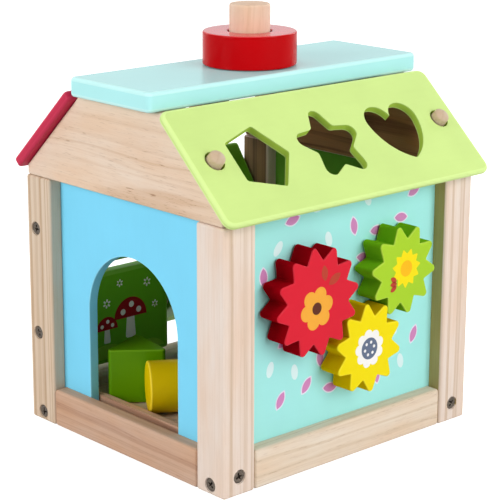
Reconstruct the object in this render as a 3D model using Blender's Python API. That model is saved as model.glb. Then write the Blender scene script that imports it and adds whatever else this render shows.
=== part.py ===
"""Wooden activity house: posts, rails and panels under a pitched roof that sorts shapes.

Three meshing gears on the front, a doorway in the left gable, four turning picture tiles at the back, a front
roof board that lifts off two pegs, a ring on a chimney peg, and six loose blocks inside.
Units are metres, +Z is up, +X runs along the ridge, the front with the gears faces -Y.
The origin is on the floor, under the middle of the whole toy as it stands with one tile swung out.
"""
import math

import bmesh
import bpy
from mathutils import Matrix, Vector

for old in list(bpy.data.objects):
    bpy.data.objects.remove(old, do_unlink=True)

# Clearances and cutting
JOINT_GAP = 0.0003
OVERRUN = 0.004
GROOVE_DEPTH = 0.005
WOOD_ROUND = 0.0014
ROUND_STEPS = 2
CORNER_STEPS = 3
TURN_STEPS = 32

# House frame
HOUSE_LENGTH = 0.190
HOUSE_WIDTH = 0.170
POST_SIDE = 0.022
POST_HEIGHT = 0.147
RAIL_HEIGHT = 0.022
RAIL_THICKNESS = 0.020

# Panels
PANEL_THICKNESS = 0.006
GABLE_PANEL_RECESS = 0.008
FRONT_PANEL_RECESS = 0.0085
FLOOR_UNDERSIDE = 0.010
FLOOR_THICKNESS = 0.006

# Doorway
DOORWAY_WIDTH = 0.077
DOORWAY_SPRINGING = 0.074
DOORWAY_STEPS = 24

# Roof
ROOF_PITCH = math.radians(43.0)
GABLE_BOARD_INSET = 0.0015
GABLE_BOARD_EAVES = 0.0055
GABLE_BOARD_HEIGHT = 0.052
RIDGE_OVERHANG = 0.0065
RIDGE_THICKNESS = 0.011
RIDGE_CORNER = 0.004
RIDGE_ROUND = 0.0022

# Roof boards on the slopes of the gable boards
ROOF_BOARD_OVERHANG = 0.005
LID_RIDGE_GAP = 0.0027
LID_EAVES = 0.0097
ROOF_BOARD_THICKNESS = 0.006
LID_CORNER = 0.0055
LID_ROUND = 0.0018
BACK_EAVES = 0.0035
BACK_CORNER = 0.003

# Lid pegs, in from the ends of the gable boards
PEG_DIAMETER = 0.010
PEG_DEPTH = 0.012
PEG_STICK_OUT = 0.0035
PEG_DOME = 0.0016
PEG_RISE = 0.0393
PEG_INSET_LEFT = 0.0105
PEG_INSET_RIGHT = 0.0087
PEG_HOLE_CLEARANCE = 0.0009

# Sorting holes and the blocks that pass them
HOLE_ROW_RISE = 0.0363
HOLE_PITCH = 0.053
HOLE_ROW_SHIFT = 0.0020
BLOCK_CLEARANCE = 0.0012
BLOCK_ROUND = 0.0010
BLOCK_HEIGHT = 0.032
PENTAGON_RADIUS = 0.021
PENTAGON_CORNER = 0.0018
STAR_TIP_RADIUS = 0.0295
STAR_INNER_RADIUS = 0.01385
STAR_TIP_ROUND = 0.0046
STAR_INNER_ROUND = 0.0025
STAR_STEPS = 5
HEART_LOBE_RADIUS = 0.0100
HEART_LOBE_OFFSET = 0.00975
HEART_TIP_DEPTH = 0.0273
HEART_TIP_ROUND = 0.0026
HEART_FLANK_RADIUS = 0.033
HEART_FLANK_STEPS = 8
TRIANGLE_RADIUS = 0.0209
TRIANGLE_CORNER = 0.0022
CIRCLE_DIAMETER = 0.0324
SQUARE_SIDE = 0.0324
SQUARE_CORNER = 0.0022

# Chimney
CHIMNEY_DIAMETER = 0.023
CHIMNEY_HEIGHT = 0.0343
CHIMNEY_ROUND = 0.0030
CHIMNEY_TENON = 0.014
RING_DIAMETER = 0.0532
RING_BORE = 0.027
RING_HEIGHT = 0.0188
RING_ROUND = 0.0024
RING_STEPS = 36

# Gears
GEAR_MODULE = 0.00475
GEAR_ADDENDUM = 0.00175
GEAR_DEDENDUM = 0.0053
GEAR_TIP_ROUND = 0.0018
GEAR_TIP_STEPS = 4
GEAR_ROOT_ROUND = 0.0008
GEAR_ROOT_STEPS = 3
GEAR_THICKNESS = 0.014
GEAR_EDGE_ROUND = 0.0009
GEAR_PANEL_GAP = 0.001
RED_TEETH = 12
SMALL_TEETH = 10
RED_X = -0.0335
RED_Z = 0.0974
YELLOW_BEARING = math.radians(-40.9)
GREEN_BEARING = math.radians(55.8)
RED_PHASE = math.radians(97.0)
YELLOW_PHASE = math.radians(94.8)
GREEN_PHASE = math.radians(100.6)
AXLE_DIAMETER = 0.008
AXLE_REACH = 0.010
AXLE_HEAD_DIAMETER = 0.016
AXLE_HEAD_THICKNESS = 0.003
AXLE_CLEARANCE = 0.0003

# Picture tiles and their rods
ROD_DIAMETER = 0.006
ROD_INSET = 0.008
TILE_CLEARANCE = 0.0055
TILE_THICKNESS = 0.010
TILE_ROUND = 0.0022
TILE_END_GAP = 0.0005
TILE_TILT_UPPER_RIGHT = math.radians(-35.0)
TILE_TILT_LOWER_RIGHT = math.radians(50.0)

# Screws
SCREW_DIAMETER = 0.003
SCREW_HEAD_DIAMETER = 0.0072
SCREW_HEAD_DEPTH = 0.0026
SCREW_GRIP = 0.016
SCREW_RECESS = 0.0004
SCREW_STEPS = 12
END_SCREW_Z = 0.0055
SIDE_SCREW_Z = 0.0105

# Loose blocks: how they lie on the floor
BLOCK_SPACING = 0.0010
PRISM_TURN = math.radians(81.0)
CYLINDER_TURN = math.radians(-32.1)
CYLINDER_WALL_SHARE = 0.44
SQUARE_TURN = math.radians(4.0)
STAR_TURN = math.radians(-16.0)
PENTAGON_TURN = math.radians(18.0)
HEART_TURN = math.radians(35.0)

# Places that follow from the sizes
HALF_LENGTH = HOUSE_LENGTH / 2
HALF_WIDTH = HOUSE_WIDTH / 2
POST_X = HALF_LENGTH - POST_SIDE / 2
POST_Y = HALF_WIDTH - POST_SIDE / 2
BAY_X = HALF_LENGTH - POST_SIDE
BAY_Y = HALF_WIDTH - POST_SIDE
RAIL_X = HALF_LENGTH - RAIL_THICKNESS / 2
RAIL_Y = HALF_WIDTH - RAIL_THICKNESS / 2
RAIL_BAY_X = HALF_LENGTH - RAIL_THICKNESS
RAIL_BAY_Y = HALF_WIDTH - RAIL_THICKNESS
GABLE_PANEL_X = HALF_LENGTH - GABLE_PANEL_RECESS - PANEL_THICKNESS / 2
FRONT_PANEL_Y = -HALF_WIDTH + FRONT_PANEL_RECESS + PANEL_THICKNESS / 2
GROOVE_WIDTH = PANEL_THICKNESS + 2 * JOINT_GAP
PANEL_TONGUE = GROOVE_DEPTH - JOINT_GAP
PANEL_FOOT = RAIL_HEIGHT - PANEL_TONGUE
SIN_PITCH = math.sin(ROOF_PITCH)
COS_PITCH = math.cos(ROOF_PITCH)
BOARD_HALF_Y = HALF_WIDTH - GABLE_BOARD_INSET
RIDGE_UNDERSIDE = POST_HEIGHT + GABLE_BOARD_HEIGHT
ROOF_OFFSET = BOARD_HALF_Y * SIN_PITCH + (POST_HEIGHT + GABLE_BOARD_EAVES) * COS_PITCH
BOARD_TOP = RIDGE_UNDERSIDE - JOINT_GAP
BOARD_TOP_HALF_Y = (ROOF_OFFSET - BOARD_TOP * COS_PITCH) / SIN_PITCH
SLOPE_TOP = BOARD_TOP * SIN_PITCH - BOARD_TOP_HALF_Y * COS_PITCH
SLOPE_FOOT = (POST_HEIGHT + GABLE_BOARD_EAVES) * SIN_PITCH - BOARD_HALF_Y * COS_PITCH
LID_TOP_EDGE = SLOPE_TOP - LID_RIDGE_GAP
LID_BOTTOM_EDGE = SLOPE_FOOT - LID_EAVES
PEG_SLOPE = LID_BOTTOM_EDGE + PEG_RISE
HOLE_ROW_SLOPE = LID_BOTTOM_EDGE + HOLE_ROW_RISE
RIDGE_TOP = RIDGE_UNDERSIDE + RIDGE_THICKNESS
ROOF_HALF_X = HALF_LENGTH + ROOF_BOARD_OVERHANG
BACK_BOTTOM_EDGE = SLOPE_FOOT - BACK_EAVES
ROD_Y = HALF_WIDTH - ROD_INSET
ROD_PITCH = (POST_HEIGHT - RAIL_HEIGHT) / 2
ROD_LOWER_Z = RAIL_HEIGHT + ROD_PITCH / 2
ROD_UPPER_Z = ROD_LOWER_Z + ROD_PITCH
TILE_HEIGHT = ROD_PITCH - TILE_CLEARANCE
TILE_LENGTH = BAY_X - 2 * TILE_END_GAP
TILE_SWEEP = math.hypot(TILE_HEIGHT / 2 - TILE_ROUND, TILE_THICKNESS / 2 - TILE_ROUND) + TILE_ROUND
TILE_SWEEP_Y = ROD_Y - TILE_SWEEP
FLOOR_TOP = FLOOR_UNDERSIDE + FLOOR_THICKNESS
BLOCK_REST = FLOOR_TOP + JOINT_GAP
SCREW_HOLE = SCREW_DIAMETER + 2 * JOINT_GAP
LID_NORMAL_REACH = ROOF_OFFSET + JOINT_GAP + ROOF_BOARD_THICKNESS - LID_ROUND
LID_REACH = LID_NORMAL_REACH * SIN_PITCH - (LID_BOTTOM_EDGE + LID_ROUND) * COS_PITCH + LID_ROUND
TILE_REACH_HIGH = (TILE_HEIGHT / 2 - TILE_ROUND) * math.sin(TILE_TILT_LOWER_RIGHT)
TILE_REACH_THICK = (TILE_THICKNESS / 2 - TILE_ROUND) * math.cos(TILE_TILT_LOWER_RIGHT)
TILE_REACH = ROD_Y + TILE_REACH_HIGH + TILE_REACH_THICK + TILE_ROUND
HOUSE_MIDDLE_Y = (LID_REACH - TILE_REACH) / 2
SCREW_LENGTH = POST_SIDE + SCREW_GRIP

# Colours: linear base colour, roughness
PAINTS = {
    "beech": ((0.62, 0.42, 0.27, 1.0), 0.48),
    "beech_dark": ((0.50, 0.31, 0.18, 1.0), 0.52),
    "sky_blue": ((0.21, 0.62, 0.88, 1.0), 0.42),
    "mint": ((0.36, 0.79, 0.76, 1.0), 0.42),
    "pale_blue": ((0.50, 0.78, 0.76, 1.0), 0.40),
    "lime": ((0.64, 0.86, 0.30, 1.0), 0.40),
    "leaf": ((0.30, 0.60, 0.06, 1.0), 0.42),
    "crimson": ((0.47, 0.03, 0.07, 1.0), 0.40),
    "red": ((0.62, 0.01, 0.02, 1.0), 0.35),
    "yellow": ((0.85, 0.65, 0.02, 1.0), 0.38),
    "tile_green": ((0.05, 0.30, 0.07, 1.0), 0.45),
    "steel": ((0.42, 0.40, 0.38, 1.0), 0.35),
}


def paint(name):
    """The material of one paint, made once."""
    material = bpy.data.materials.get(name)
    if material is None:
        material = bpy.data.materials.new(name)
        material.use_nodes = True
        shader = material.node_tree.nodes["Principled BSDF"]
        shader.inputs["Base Color"].default_value = PAINTS[name][0]
        shader.inputs["Roughness"].default_value = PAINTS[name][1]
        shader.inputs["Metallic"].default_value = 1.0 if name == "steel" else 0.0
    return material


def finish_object(name, bm, finish, smooth=True):
    """Turn a closed bmesh into an object, with faces out and a named finish."""
    bmesh.ops.recalc_face_normals(bm, faces=bm.faces)
    mesh = bpy.data.meshes.new(name)
    bm.to_mesh(mesh)
    bm.free()
    if smooth:
        mesh.shade_smooth()
        mesh.set_sharp_from_angle(angle=math.radians(35.0))
    obj = bpy.data.objects.new(name, mesh)
    bpy.context.scene.collection.objects.link(obj)
    if finish:
        mesh.materials.append(paint(finish))
    return obj


def box_mesh(low, high):
    """A box between two corners."""
    bm = bmesh.new()
    bmesh.ops.create_cube(bm, size=1.0)
    low = Vector(low)
    high = Vector(high)
    for vert in bm.verts:
        share = vert.co + Vector((0.5, 0.5, 0.5))
        vert.co = low + Vector((share[i] * (high[i] - low[i]) for i in range(3)))
    return bm


def slab_mesh(outline, low, high):
    """A flat outline extruded along Z from low to high."""
    bm = bmesh.new()
    face = bm.faces.new([bm.verts.new((x, y, low)) for x, y in outline])
    grown = bmesh.ops.extrude_face_region(bm, geom=[face])
    top = [item for item in grown["geom"] if isinstance(item, bmesh.types.BMVert)]
    bmesh.ops.translate(bm, verts=top, vec=(0.0, 0.0, high - low))
    return bm


def turned_mesh(profile, steps, closed=False):
    """A profile of (radius, height) points turned round Z. A closed profile makes a ring."""
    bm = bmesh.new()
    verts = [bm.verts.new((radius, 0.0, height)) for radius, height in profile]
    edges = [bm.edges.new(pair) for pair in zip(verts, verts[1:])]
    if closed:
        edges.append(bm.edges.new((verts[-1], verts[0])))
    bmesh.ops.spin(
        bm, geom=verts + edges, cent=(0.0, 0.0, 0.0), axis=(0.0, 0.0, 1.0),
        angle=2 * math.pi, steps=steps, use_merge=True,
    )
    bmesh.ops.remove_doubles(bm, verts=bm.verts, dist=JOINT_GAP / 30)
    return bm


def arc(centre, radius, start, end, steps):
    """Points along an arc, both ends included."""
    turns = [start + (end - start) * i / steps for i in range(steps + 1)]
    return [(centre[0] + radius * math.cos(t), centre[1] + radius * math.sin(t)) for t in turns]


def inset(outline, distance):
    """The outline moved in by a distance, each corner along its mitre. It runs anticlockwise."""
    moved = []
    count = len(outline)
    for i in range(count):
        here = Vector(outline[i])
        before = (here - Vector(outline[i - 1])).normalized()
        after = (Vector(outline[(i + 1) % count]) - here).normalized()
        normal = Vector((-before.y - after.y, before.x + after.x)).normalized()
        stretch = max(0.2, normal.dot(Vector((-after.y, after.x))))
        moved.append(tuple(here + normal * (distance / stretch)))
    return moved


def rounded(corners, radii, steps):
    """A polygon, anticlockwise, with each corner replaced by an arc of its own radius."""
    points = []
    count = len(corners)
    for i in range(count):
        here = Vector(corners[i])
        to_last = (Vector(corners[i - 1]) - here).normalized()
        to_next = (Vector(corners[(i + 1) % count]) - here).normalized()
        half = to_last.angle(to_next) / 2
        centre = here + (to_last + to_next).normalized() * (radii[i] / math.sin(half))
        first = here + to_last * (radii[i] / math.tan(half)) - centre
        last = here + to_next * (radii[i] / math.tan(half)) - centre
        start = math.atan2(first.y, first.x)
        sweep = math.atan2(last.y, last.x) - start
        sweep = (sweep + math.pi) % (2 * math.pi) - math.pi
        points += arc(centre, radii[i], start, start + sweep, steps)
    return points


def round_edged_mesh(outline, thickness, radius, steps=ROUND_STEPS):
    """An outline lofted through its thickness, with both rims rounded."""
    levels = []
    for i in range(steps + 1):
        turn = math.pi / 2 * i / steps
        levels.append((radius * (1 - math.sin(turn)), radius * (1 - math.cos(turn))))
    levels += [(drawn_in, thickness - height) for drawn_in, height in reversed(levels)]
    bm = bmesh.new()
    rings = []
    for drawn_in, height in levels:
        rings.append([bm.verts.new((x, y, height)) for x, y in inset(outline, drawn_in)])
    count = len(outline)
    for lower, upper in zip(rings, rings[1:]):
        for i in range(count):
            j = (i + 1) % count
            bm.faces.new((lower[i], lower[j], upper[j], upper[i]))
    bm.faces.new(rings[0])
    bm.faces.new(rings[-1])
    return bm


def regular_corners(count, radius, first_turn, inner_radius=None):
    """The corners of a regular polygon, or of a star when an inner radius is given."""
    corners = []
    for i in range(count):
        turn = first_turn + 2 * math.pi * i / count
        corners.append((radius * math.cos(turn), radius * math.sin(turn)))
        if inner_radius:
            turn += math.pi / count
            corners.append((inner_radius * math.cos(turn), inner_radius * math.sin(turn)))
    return corners


def pentagon_outline():
    """A pentagon with a corner towards +X."""
    return rounded(regular_corners(5, PENTAGON_RADIUS, 0.0), [PENTAGON_CORNER] * 5, CORNER_STEPS)


def star_outline():
    """A plump star with a tip towards +Y."""
    corners = regular_corners(5, STAR_TIP_RADIUS, math.pi / 2, STAR_INNER_RADIUS)
    return rounded(corners, [STAR_TIP_ROUND, STAR_INNER_ROUND] * 5, STAR_STEPS)


def heart_outline():
    """Two lobes and the bowed flanks that run to the tip at -Y."""
    rise = (HEART_TIP_DEPTH - HEART_LOBE_RADIUS) / 2
    lobe = Vector((HEART_LOBE_OFFSET, rise))
    tip = Vector((0.0, rise - HEART_TIP_DEPTH + HEART_TIP_ROUND))
    to_lobe = HEART_FLANK_RADIUS - HEART_LOBE_RADIUS
    to_tip = HEART_FLANK_RADIUS - HEART_TIP_ROUND
    apart = (lobe - tip).length
    along = (to_tip**2 - to_lobe**2 + apart**2) / (2 * apart)
    towards = (lobe - tip).normalized()
    flank = tip + towards * along + Vector((-towards.y, towards.x)) * math.sqrt(to_tip**2 - along**2)
    tip_turn = math.atan2(tip.y - flank.y, tip.x - flank.x)
    lobe_turn = math.atan2(lobe.y - flank.y, lobe.x - flank.x)
    notch = math.acos(HEART_LOBE_OFFSET / HEART_LOBE_RADIUS)
    right = arc(flank, HEART_FLANK_RADIUS, tip_turn, lobe_turn, HEART_FLANK_STEPS)
    right += arc(lobe, HEART_LOBE_RADIUS, lobe_turn, math.pi - notch, DOORWAY_STEPS // 2)[1:]
    left = [(-x, y) for x, y in reversed(right[:-1])]
    bottom = arc(tip, HEART_TIP_ROUND, -math.pi - tip_turn, tip_turn, CORNER_STEPS)
    return right + left + bottom[1:-1]


def triangle_outline():
    """A triangle with a corner towards +Y."""
    corners = regular_corners(3, TRIANGLE_RADIUS, math.pi / 2)
    return rounded(corners, [TRIANGLE_CORNER] * 3, CORNER_STEPS)


def circle_outline(diameter, steps=TURN_STEPS):
    """A circle as an outline."""
    return arc((0.0, 0.0), diameter / 2, 0.0, 2 * math.pi * (steps - 1) / steps, steps - 1)


def rectangle_outline(half_x, half_y, radius):
    """A rectangle with round corners, or square ones for a radius of zero."""
    corners = [(-half_x, -half_y), (half_x, -half_y), (half_x, half_y), (-half_x, half_y)]
    if radius == 0.0:
        return corners
    return rounded(corners, [radius] * 4, CORNER_STEPS)


def gear_outline(teeth, phase):
    """Teeth of straight flanks between round tips and round roots, the first one at the phase."""
    pitch_radius = GEAR_MODULE * teeth / 2
    half_step = math.pi / teeth
    tip = Vector((pitch_radius + GEAR_ADDENDUM - GEAR_TIP_ROUND, 0.0))
    root_distance = pitch_radius - GEAR_DEDENDUM + GEAR_ROOT_ROUND
    root = Vector((root_distance * math.cos(half_step), root_distance * math.sin(half_step)))
    across = root - tip
    twist = math.asin((GEAR_TIP_ROUND + GEAR_ROOT_ROUND) / across.length)
    facing = math.atan2(across.y, across.x) + twist - math.pi / 2
    tooth = arc(tip, GEAR_TIP_ROUND, -facing, facing, GEAR_TIP_STEPS)
    tooth += arc(root, GEAR_ROOT_ROUND, facing + math.pi, 2 * half_step - facing + math.pi, GEAR_ROOT_STEPS)
    points = []
    for i in range(teeth):
        turn = Matrix.Rotation(phase + 2 * half_step * i, 2)
        points += [tuple(turn @ Vector(point)) for point in tooth]
    return points


def soften(obj, width=WOOD_ROUND, segments=ROUND_STEPS):
    """Round the long edges of a board, before anything is cut into it."""
    bevel = obj.modifiers.new("rounded edges", "BEVEL")
    bevel.width = width
    bevel.segments = segments
    bevel.limit_method = "ANGLE"
    bevel.angle_limit = math.radians(40.0)
    return obj


def cut(obj, bm, name, matrix=None):
    """Cut a closed bmesh, given in world space, out of an object."""
    cutter = finish_object(name + "_cutter", bm, None, smooth=False)
    if matrix is not None:
        cutter.matrix_world = matrix
    cutter.hide_render = True
    cutter.display_type = "WIRE"
    boolean = obj.modifiers.new(name, "BOOLEAN")
    boolean.operation = "DIFFERENCE"
    boolean.solver = "EXACT"
    boolean.object = cutter
    return cutter


def place(obj, location, rotation=(0.0, 0.0, 0.0)):
    """Put an object at a location with XYZ rotations."""
    obj.location = location
    obj.rotation_euler = rotation
    return obj


def frame_at(location, rotation=(0.0, 0.0, 0.0)):
    """A placing matrix from a location and XYZ rotations."""
    turn = Matrix.Rotation(rotation[2], 4, "Z")
    turn = turn @ Matrix.Rotation(rotation[1], 4, "Y") @ Matrix.Rotation(rotation[0], 4, "X")
    return Matrix.Translation(location) @ turn


def groove_mesh(low, high):
    """A groove's cutter box, its corners given in any order."""
    pairs = [sorted(pair) for pair in zip(low, high)]
    return box_mesh([pair[0] for pair in pairs], [pair[1] for pair in pairs])


# Screws run from the outer face of a post along X or Y
def screw_profile():
    """A countersunk screw pointing down -Z, its flat head at zero."""
    head = SCREW_HEAD_DIAMETER / 2
    shank = SCREW_DIAMETER / 2
    tip_length = SCREW_DIAMETER
    return [
        (0.0, 0.0),
        (head, 0.0),
        (shank, -SCREW_HEAD_DEPTH),
        (shank, tip_length - SCREW_LENGTH),
        (0.0, -SCREW_LENGTH),
    ]


def screw_hole_profile():
    """The countersink and pilot hole of a screw, running past the face and the tip."""
    head = SCREW_HEAD_DIAMETER / 2 + JOINT_GAP
    shank = SCREW_HOLE / 2
    return [
        (0.0, OVERRUN),
        (head, OVERRUN),
        (head, -JOINT_GAP),
        (shank, -SCREW_HEAD_DEPTH - JOINT_GAP),
        (shank, -SCREW_LENGTH - JOINT_GAP),
        (0.0, -SCREW_LENGTH - JOINT_GAP),
    ]


def drive_screw(name, location, rotation, pieces):
    """A screw set just under the face, with its hole through each piece that it joins."""
    screw = finish_object(name, turned_mesh(screw_profile(), SCREW_STEPS), "steel")
    sunk = frame_at(location, rotation) @ Matrix.Translation((0.0, 0.0, -SCREW_RECESS))
    screw.matrix_world = sunk
    for piece in pieces:
        cut(piece, turned_mesh(screw_hole_profile(), SCREW_STEPS), name + "_in_" + piece.name, sunk)
    return screw


# Posts, with a groove for each panel that they hold
posts = {}
for end, side_x in (("left", -1), ("right", 1)):
    for face, side_y in (("front", -1), ("back", 1)):
        name = "post_" + face + "_" + end
        half = POST_SIDE / 2
        body = box_mesh((-half, -half, 0.0), (half, half, POST_HEIGHT - JOINT_GAP))
        post = soften(finish_object(name, body, "beech"))
        place(post, (side_x * POST_X, side_y * POST_Y, 0.0))
        low_x = side_x * GABLE_PANEL_X - GROOVE_WIDTH / 2
        gable_groove = groove_mesh(
            (low_x, side_y * (BAY_Y - OVERRUN), PANEL_FOOT - JOINT_GAP),
            (low_x + GROOVE_WIDTH, side_y * (BAY_Y + GROOVE_DEPTH), POST_HEIGHT + OVERRUN),
        )
        cut(post, gable_groove, name + "_gable_groove")
        if side_y < 0:
            low_y = FRONT_PANEL_Y - GROOVE_WIDTH / 2
            front_groove = groove_mesh(
                (side_x * (BAY_X - OVERRUN), low_y, PANEL_FOOT - JOINT_GAP),
                (side_x * (BAY_X + GROOVE_DEPTH), low_y + GROOVE_WIDTH, POST_HEIGHT + OVERRUN),
            )
            cut(post, front_groove, name + "_front_groove")
        posts[(side_x, side_y)] = post

# Bottom rails between the posts, grooved for the floor and for the panel above
rails = {}
rail_half_x = BAY_X - JOINT_GAP
rail_half_y = BAY_Y - JOINT_GAP
for name, side in (("rail_front", -1), ("rail_back", 1)):
    half = RAIL_THICKNESS / 2
    body = box_mesh((-rail_half_x, -half, 0.0), (rail_half_x, half, RAIL_HEIGHT))
    rail = place(soften(finish_object(name, body, "beech")), (0.0, side * RAIL_Y, 0.0))
    floor_groove = groove_mesh(
        (-HALF_LENGTH, side * (RAIL_BAY_Y - OVERRUN), FLOOR_UNDERSIDE - JOINT_GAP),
        (HALF_LENGTH, side * (RAIL_BAY_Y + GROOVE_DEPTH), FLOOR_TOP + JOINT_GAP),
    )
    cut(rail, floor_groove, name + "_floor_groove")
    if side < 0:
        panel_groove = groove_mesh(
            (-HALF_LENGTH, FRONT_PANEL_Y - GROOVE_WIDTH / 2, RAIL_HEIGHT - GROOVE_DEPTH),
            (HALF_LENGTH, FRONT_PANEL_Y + GROOVE_WIDTH / 2, RAIL_HEIGHT + OVERRUN),
        )
        cut(rail, panel_groove, name + "_panel_groove")
    rails[(0, side)] = rail
for name, side in (("rail_left", -1), ("rail_right", 1)):
    half = RAIL_THICKNESS / 2
    body = box_mesh((-half, -rail_half_y, 0.0), (half, rail_half_y, RAIL_HEIGHT))
    rail = place(soften(finish_object(name, body, "beech")), (side * RAIL_X, 0.0, 0.0))
    floor_groove = groove_mesh(
        (side * (RAIL_BAY_X - OVERRUN), -HALF_WIDTH, FLOOR_UNDERSIDE - JOINT_GAP),
        (side * (RAIL_BAY_X + GROOVE_DEPTH), HALF_WIDTH, FLOOR_TOP + JOINT_GAP),
    )
    cut(rail, floor_groove, name + "_floor_groove")
    panel_groove = groove_mesh(
        (side * GABLE_PANEL_X - GROOVE_WIDTH / 2, -HALF_WIDTH, RAIL_HEIGHT - GROOVE_DEPTH),
        (side * GABLE_PANEL_X + GROOVE_WIDTH / 2, HALF_WIDTH, RAIL_HEIGHT + OVERRUN),
    )
    cut(rail, panel_groove, name + "_panel_groove")
    rails[(side, 0)] = rail

# Floor board, notched round the posts and let into the rails
floor_x = RAIL_BAY_X + PANEL_TONGUE
floor_y = RAIL_BAY_Y + PANEL_TONGUE
notch_x = BAY_X - JOINT_GAP
notch_y = BAY_Y - JOINT_GAP
quarter = [(floor_x, -notch_y), (floor_x, notch_y), (notch_x, notch_y), (notch_x, floor_y)]
floor_outline = quarter + [(-x, y) for x, y in reversed(quarter[1:])]
floor_outline += [(-x, -y) for x, y in quarter[1:]] + [(x, -y) for x, y in reversed(quarter[2:])]
finish_object("floor_board", slab_mesh(floor_outline, FLOOR_UNDERSIDE, FLOOR_TOP), "beech")

# Gable panels, let into the posts, the rail and the gable board, the left one with the doorway
panel_half_y = BAY_Y + PANEL_TONGUE
panel_top = POST_HEIGHT + PANEL_TONGUE
door_half = DOORWAY_WIDTH / 2
door_arc = arc((0.0, DOORWAY_SPRINGING), door_half, math.pi, 0.0, DOORWAY_STEPS)
door_outline = [(-panel_half_y, PANEL_FOOT), (-door_half, PANEL_FOOT)] + door_arc
door_outline += [(door_half, PANEL_FOOT), (panel_half_y, PANEL_FOOT)]
door_outline += [(panel_half_y, panel_top), (-panel_half_y, panel_top)]
plain_outline = [(-panel_half_y, PANEL_FOOT), (panel_half_y, PANEL_FOOT)]
plain_outline += [(panel_half_y, panel_top), (-panel_half_y, panel_top)]
upright_x = (math.pi / 2, 0.0, math.pi / 2)
upright_y = (math.pi / 2, 0.0, 0.0)
half_panel = PANEL_THICKNESS / 2
doorway = finish_object("panel_doorway", slab_mesh(door_outline, -half_panel, half_panel), "sky_blue")
place(doorway, (-GABLE_PANEL_X, 0.0, 0.0), upright_x)
right_panel = finish_object("panel_right", slab_mesh(plain_outline, -half_panel, half_panel), "leaf")
place(right_panel, (GABLE_PANEL_X, 0.0, 0.0), upright_x)

# Front panel, up to the tops of the posts
front_half_x = BAY_X + PANEL_TONGUE
front_outline = [(-front_half_x, PANEL_FOOT), (front_half_x, PANEL_FOOT)]
front_outline += [(front_half_x, POST_HEIGHT - JOINT_GAP), (-front_half_x, POST_HEIGHT - JOINT_GAP)]
gear_panel = finish_object("panel_gears", slab_mesh(front_outline, -half_panel, half_panel), "mint")
place(gear_panel, (0.0, FRONT_PANEL_Y, 0.0), upright_y)

# Gable boards that carry the roof
board_outline = [
    (-BOARD_HALF_Y, POST_HEIGHT),
    (BOARD_HALF_Y, POST_HEIGHT),
    (BOARD_HALF_Y, POST_HEIGHT + GABLE_BOARD_EAVES),
    (BOARD_TOP_HALF_Y, BOARD_TOP),
    (-BOARD_TOP_HALF_Y, BOARD_TOP),
    (-BOARD_HALF_Y, POST_HEIGHT + GABLE_BOARD_EAVES),
]
gable_boards = {}
for name, side in (("gable_board_left", -1), ("gable_board_right", 1)):
    board = finish_object(name, slab_mesh(board_outline, -POST_SIDE / 2, POST_SIDE / 2), "beech")
    place(soften(board), (side * POST_X, 0.0, 0.0), upright_x)
    groove = groove_mesh(
        (side * GABLE_PANEL_X - GROOVE_WIDTH / 2, -panel_half_y - JOINT_GAP, POST_HEIGHT - OVERRUN),
        (side * GABLE_PANEL_X + GROOVE_WIDTH / 2, panel_half_y + JOINT_GAP, POST_HEIGHT + GROOVE_DEPTH),
    )
    cut(board, groove, name + "_panel_groove")
    gable_boards[side] = board


# Roof boards lie on the slopes, their local Y along the slope and their local Z out of it
def slope_frame(side, along, lift):
    """The frame on a roof slope: front -1, back 1, at a distance up the slope, lifted off it."""
    turn = -side * ROOF_PITCH
    out = Vector((0.0, side * SIN_PITCH, COS_PITCH))
    up = Vector((0.0, -side * COS_PITCH, SIN_PITCH))
    return frame_at(out * (ROOF_OFFSET + lift) + up * along, (turn, 0.0, 0.0))


def cut_shape(board, outline, name, frame, x, up_slope, side):
    """Cut one sorting hole through a roof board, at x and a distance up the slope from its middle."""
    bm = slab_mesh(outline, -OVERRUN, ROOF_BOARD_THICKNESS + OVERRUN)
    cut(board, bm, name, frame @ Matrix.Translation((x, -side * up_slope, 0.0)))


lid_half = (LID_TOP_EDGE - LID_BOTTOM_EDGE) / 2
lid_middle = (LID_TOP_EDGE + LID_BOTTOM_EDGE) / 2
lid_frame = slope_frame(-1, lid_middle, JOINT_GAP)
lid_outline = rectangle_outline(ROOF_HALF_X, lid_half, LID_CORNER)
roof_lid = finish_object("roof_lid", round_edged_mesh(lid_outline, ROOF_BOARD_THICKNESS, LID_ROUND), "lime")
roof_lid.matrix_world = lid_frame
hole_rise = HOLE_ROW_SLOPE - lid_middle
cut_shape(roof_lid, pentagon_outline(), "pentagon_hole", lid_frame, -HOLE_PITCH - HOLE_ROW_SHIFT, hole_rise, -1)
cut_shape(roof_lid, star_outline(), "star_hole", lid_frame, -HOLE_ROW_SHIFT, hole_rise, -1)
cut_shape(roof_lid, heart_outline(), "heart_hole", lid_frame, HOLE_PITCH - HOLE_ROW_SHIFT, hole_rise, -1)

back_half = (LID_TOP_EDGE - BACK_BOTTOM_EDGE) / 2
back_middle = (LID_TOP_EDGE + BACK_BOTTOM_EDGE) / 2
back_frame = slope_frame(1, back_middle, JOINT_GAP)
back_outline = rectangle_outline(ROOF_HALF_X, back_half, BACK_CORNER)
roof_back = finish_object("roof_back", round_edged_mesh(back_outline, ROOF_BOARD_THICKNESS, LID_ROUND), "crimson")
roof_back.matrix_world = back_frame
square_outline = rectangle_outline(SQUARE_SIDE / 2, SQUARE_SIDE / 2, SQUARE_CORNER)
cut_shape(roof_back, triangle_outline(), "triangle_hole", back_frame, -HOLE_PITCH, hole_rise, 1)
cut_shape(roof_back, circle_outline(CIRCLE_DIAMETER), "circle_hole", back_frame, 0.0, hole_rise, 1)
cut_shape(roof_back, square_outline, "square_hole", back_frame, HOLE_PITCH, hole_rise, 1)

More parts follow.
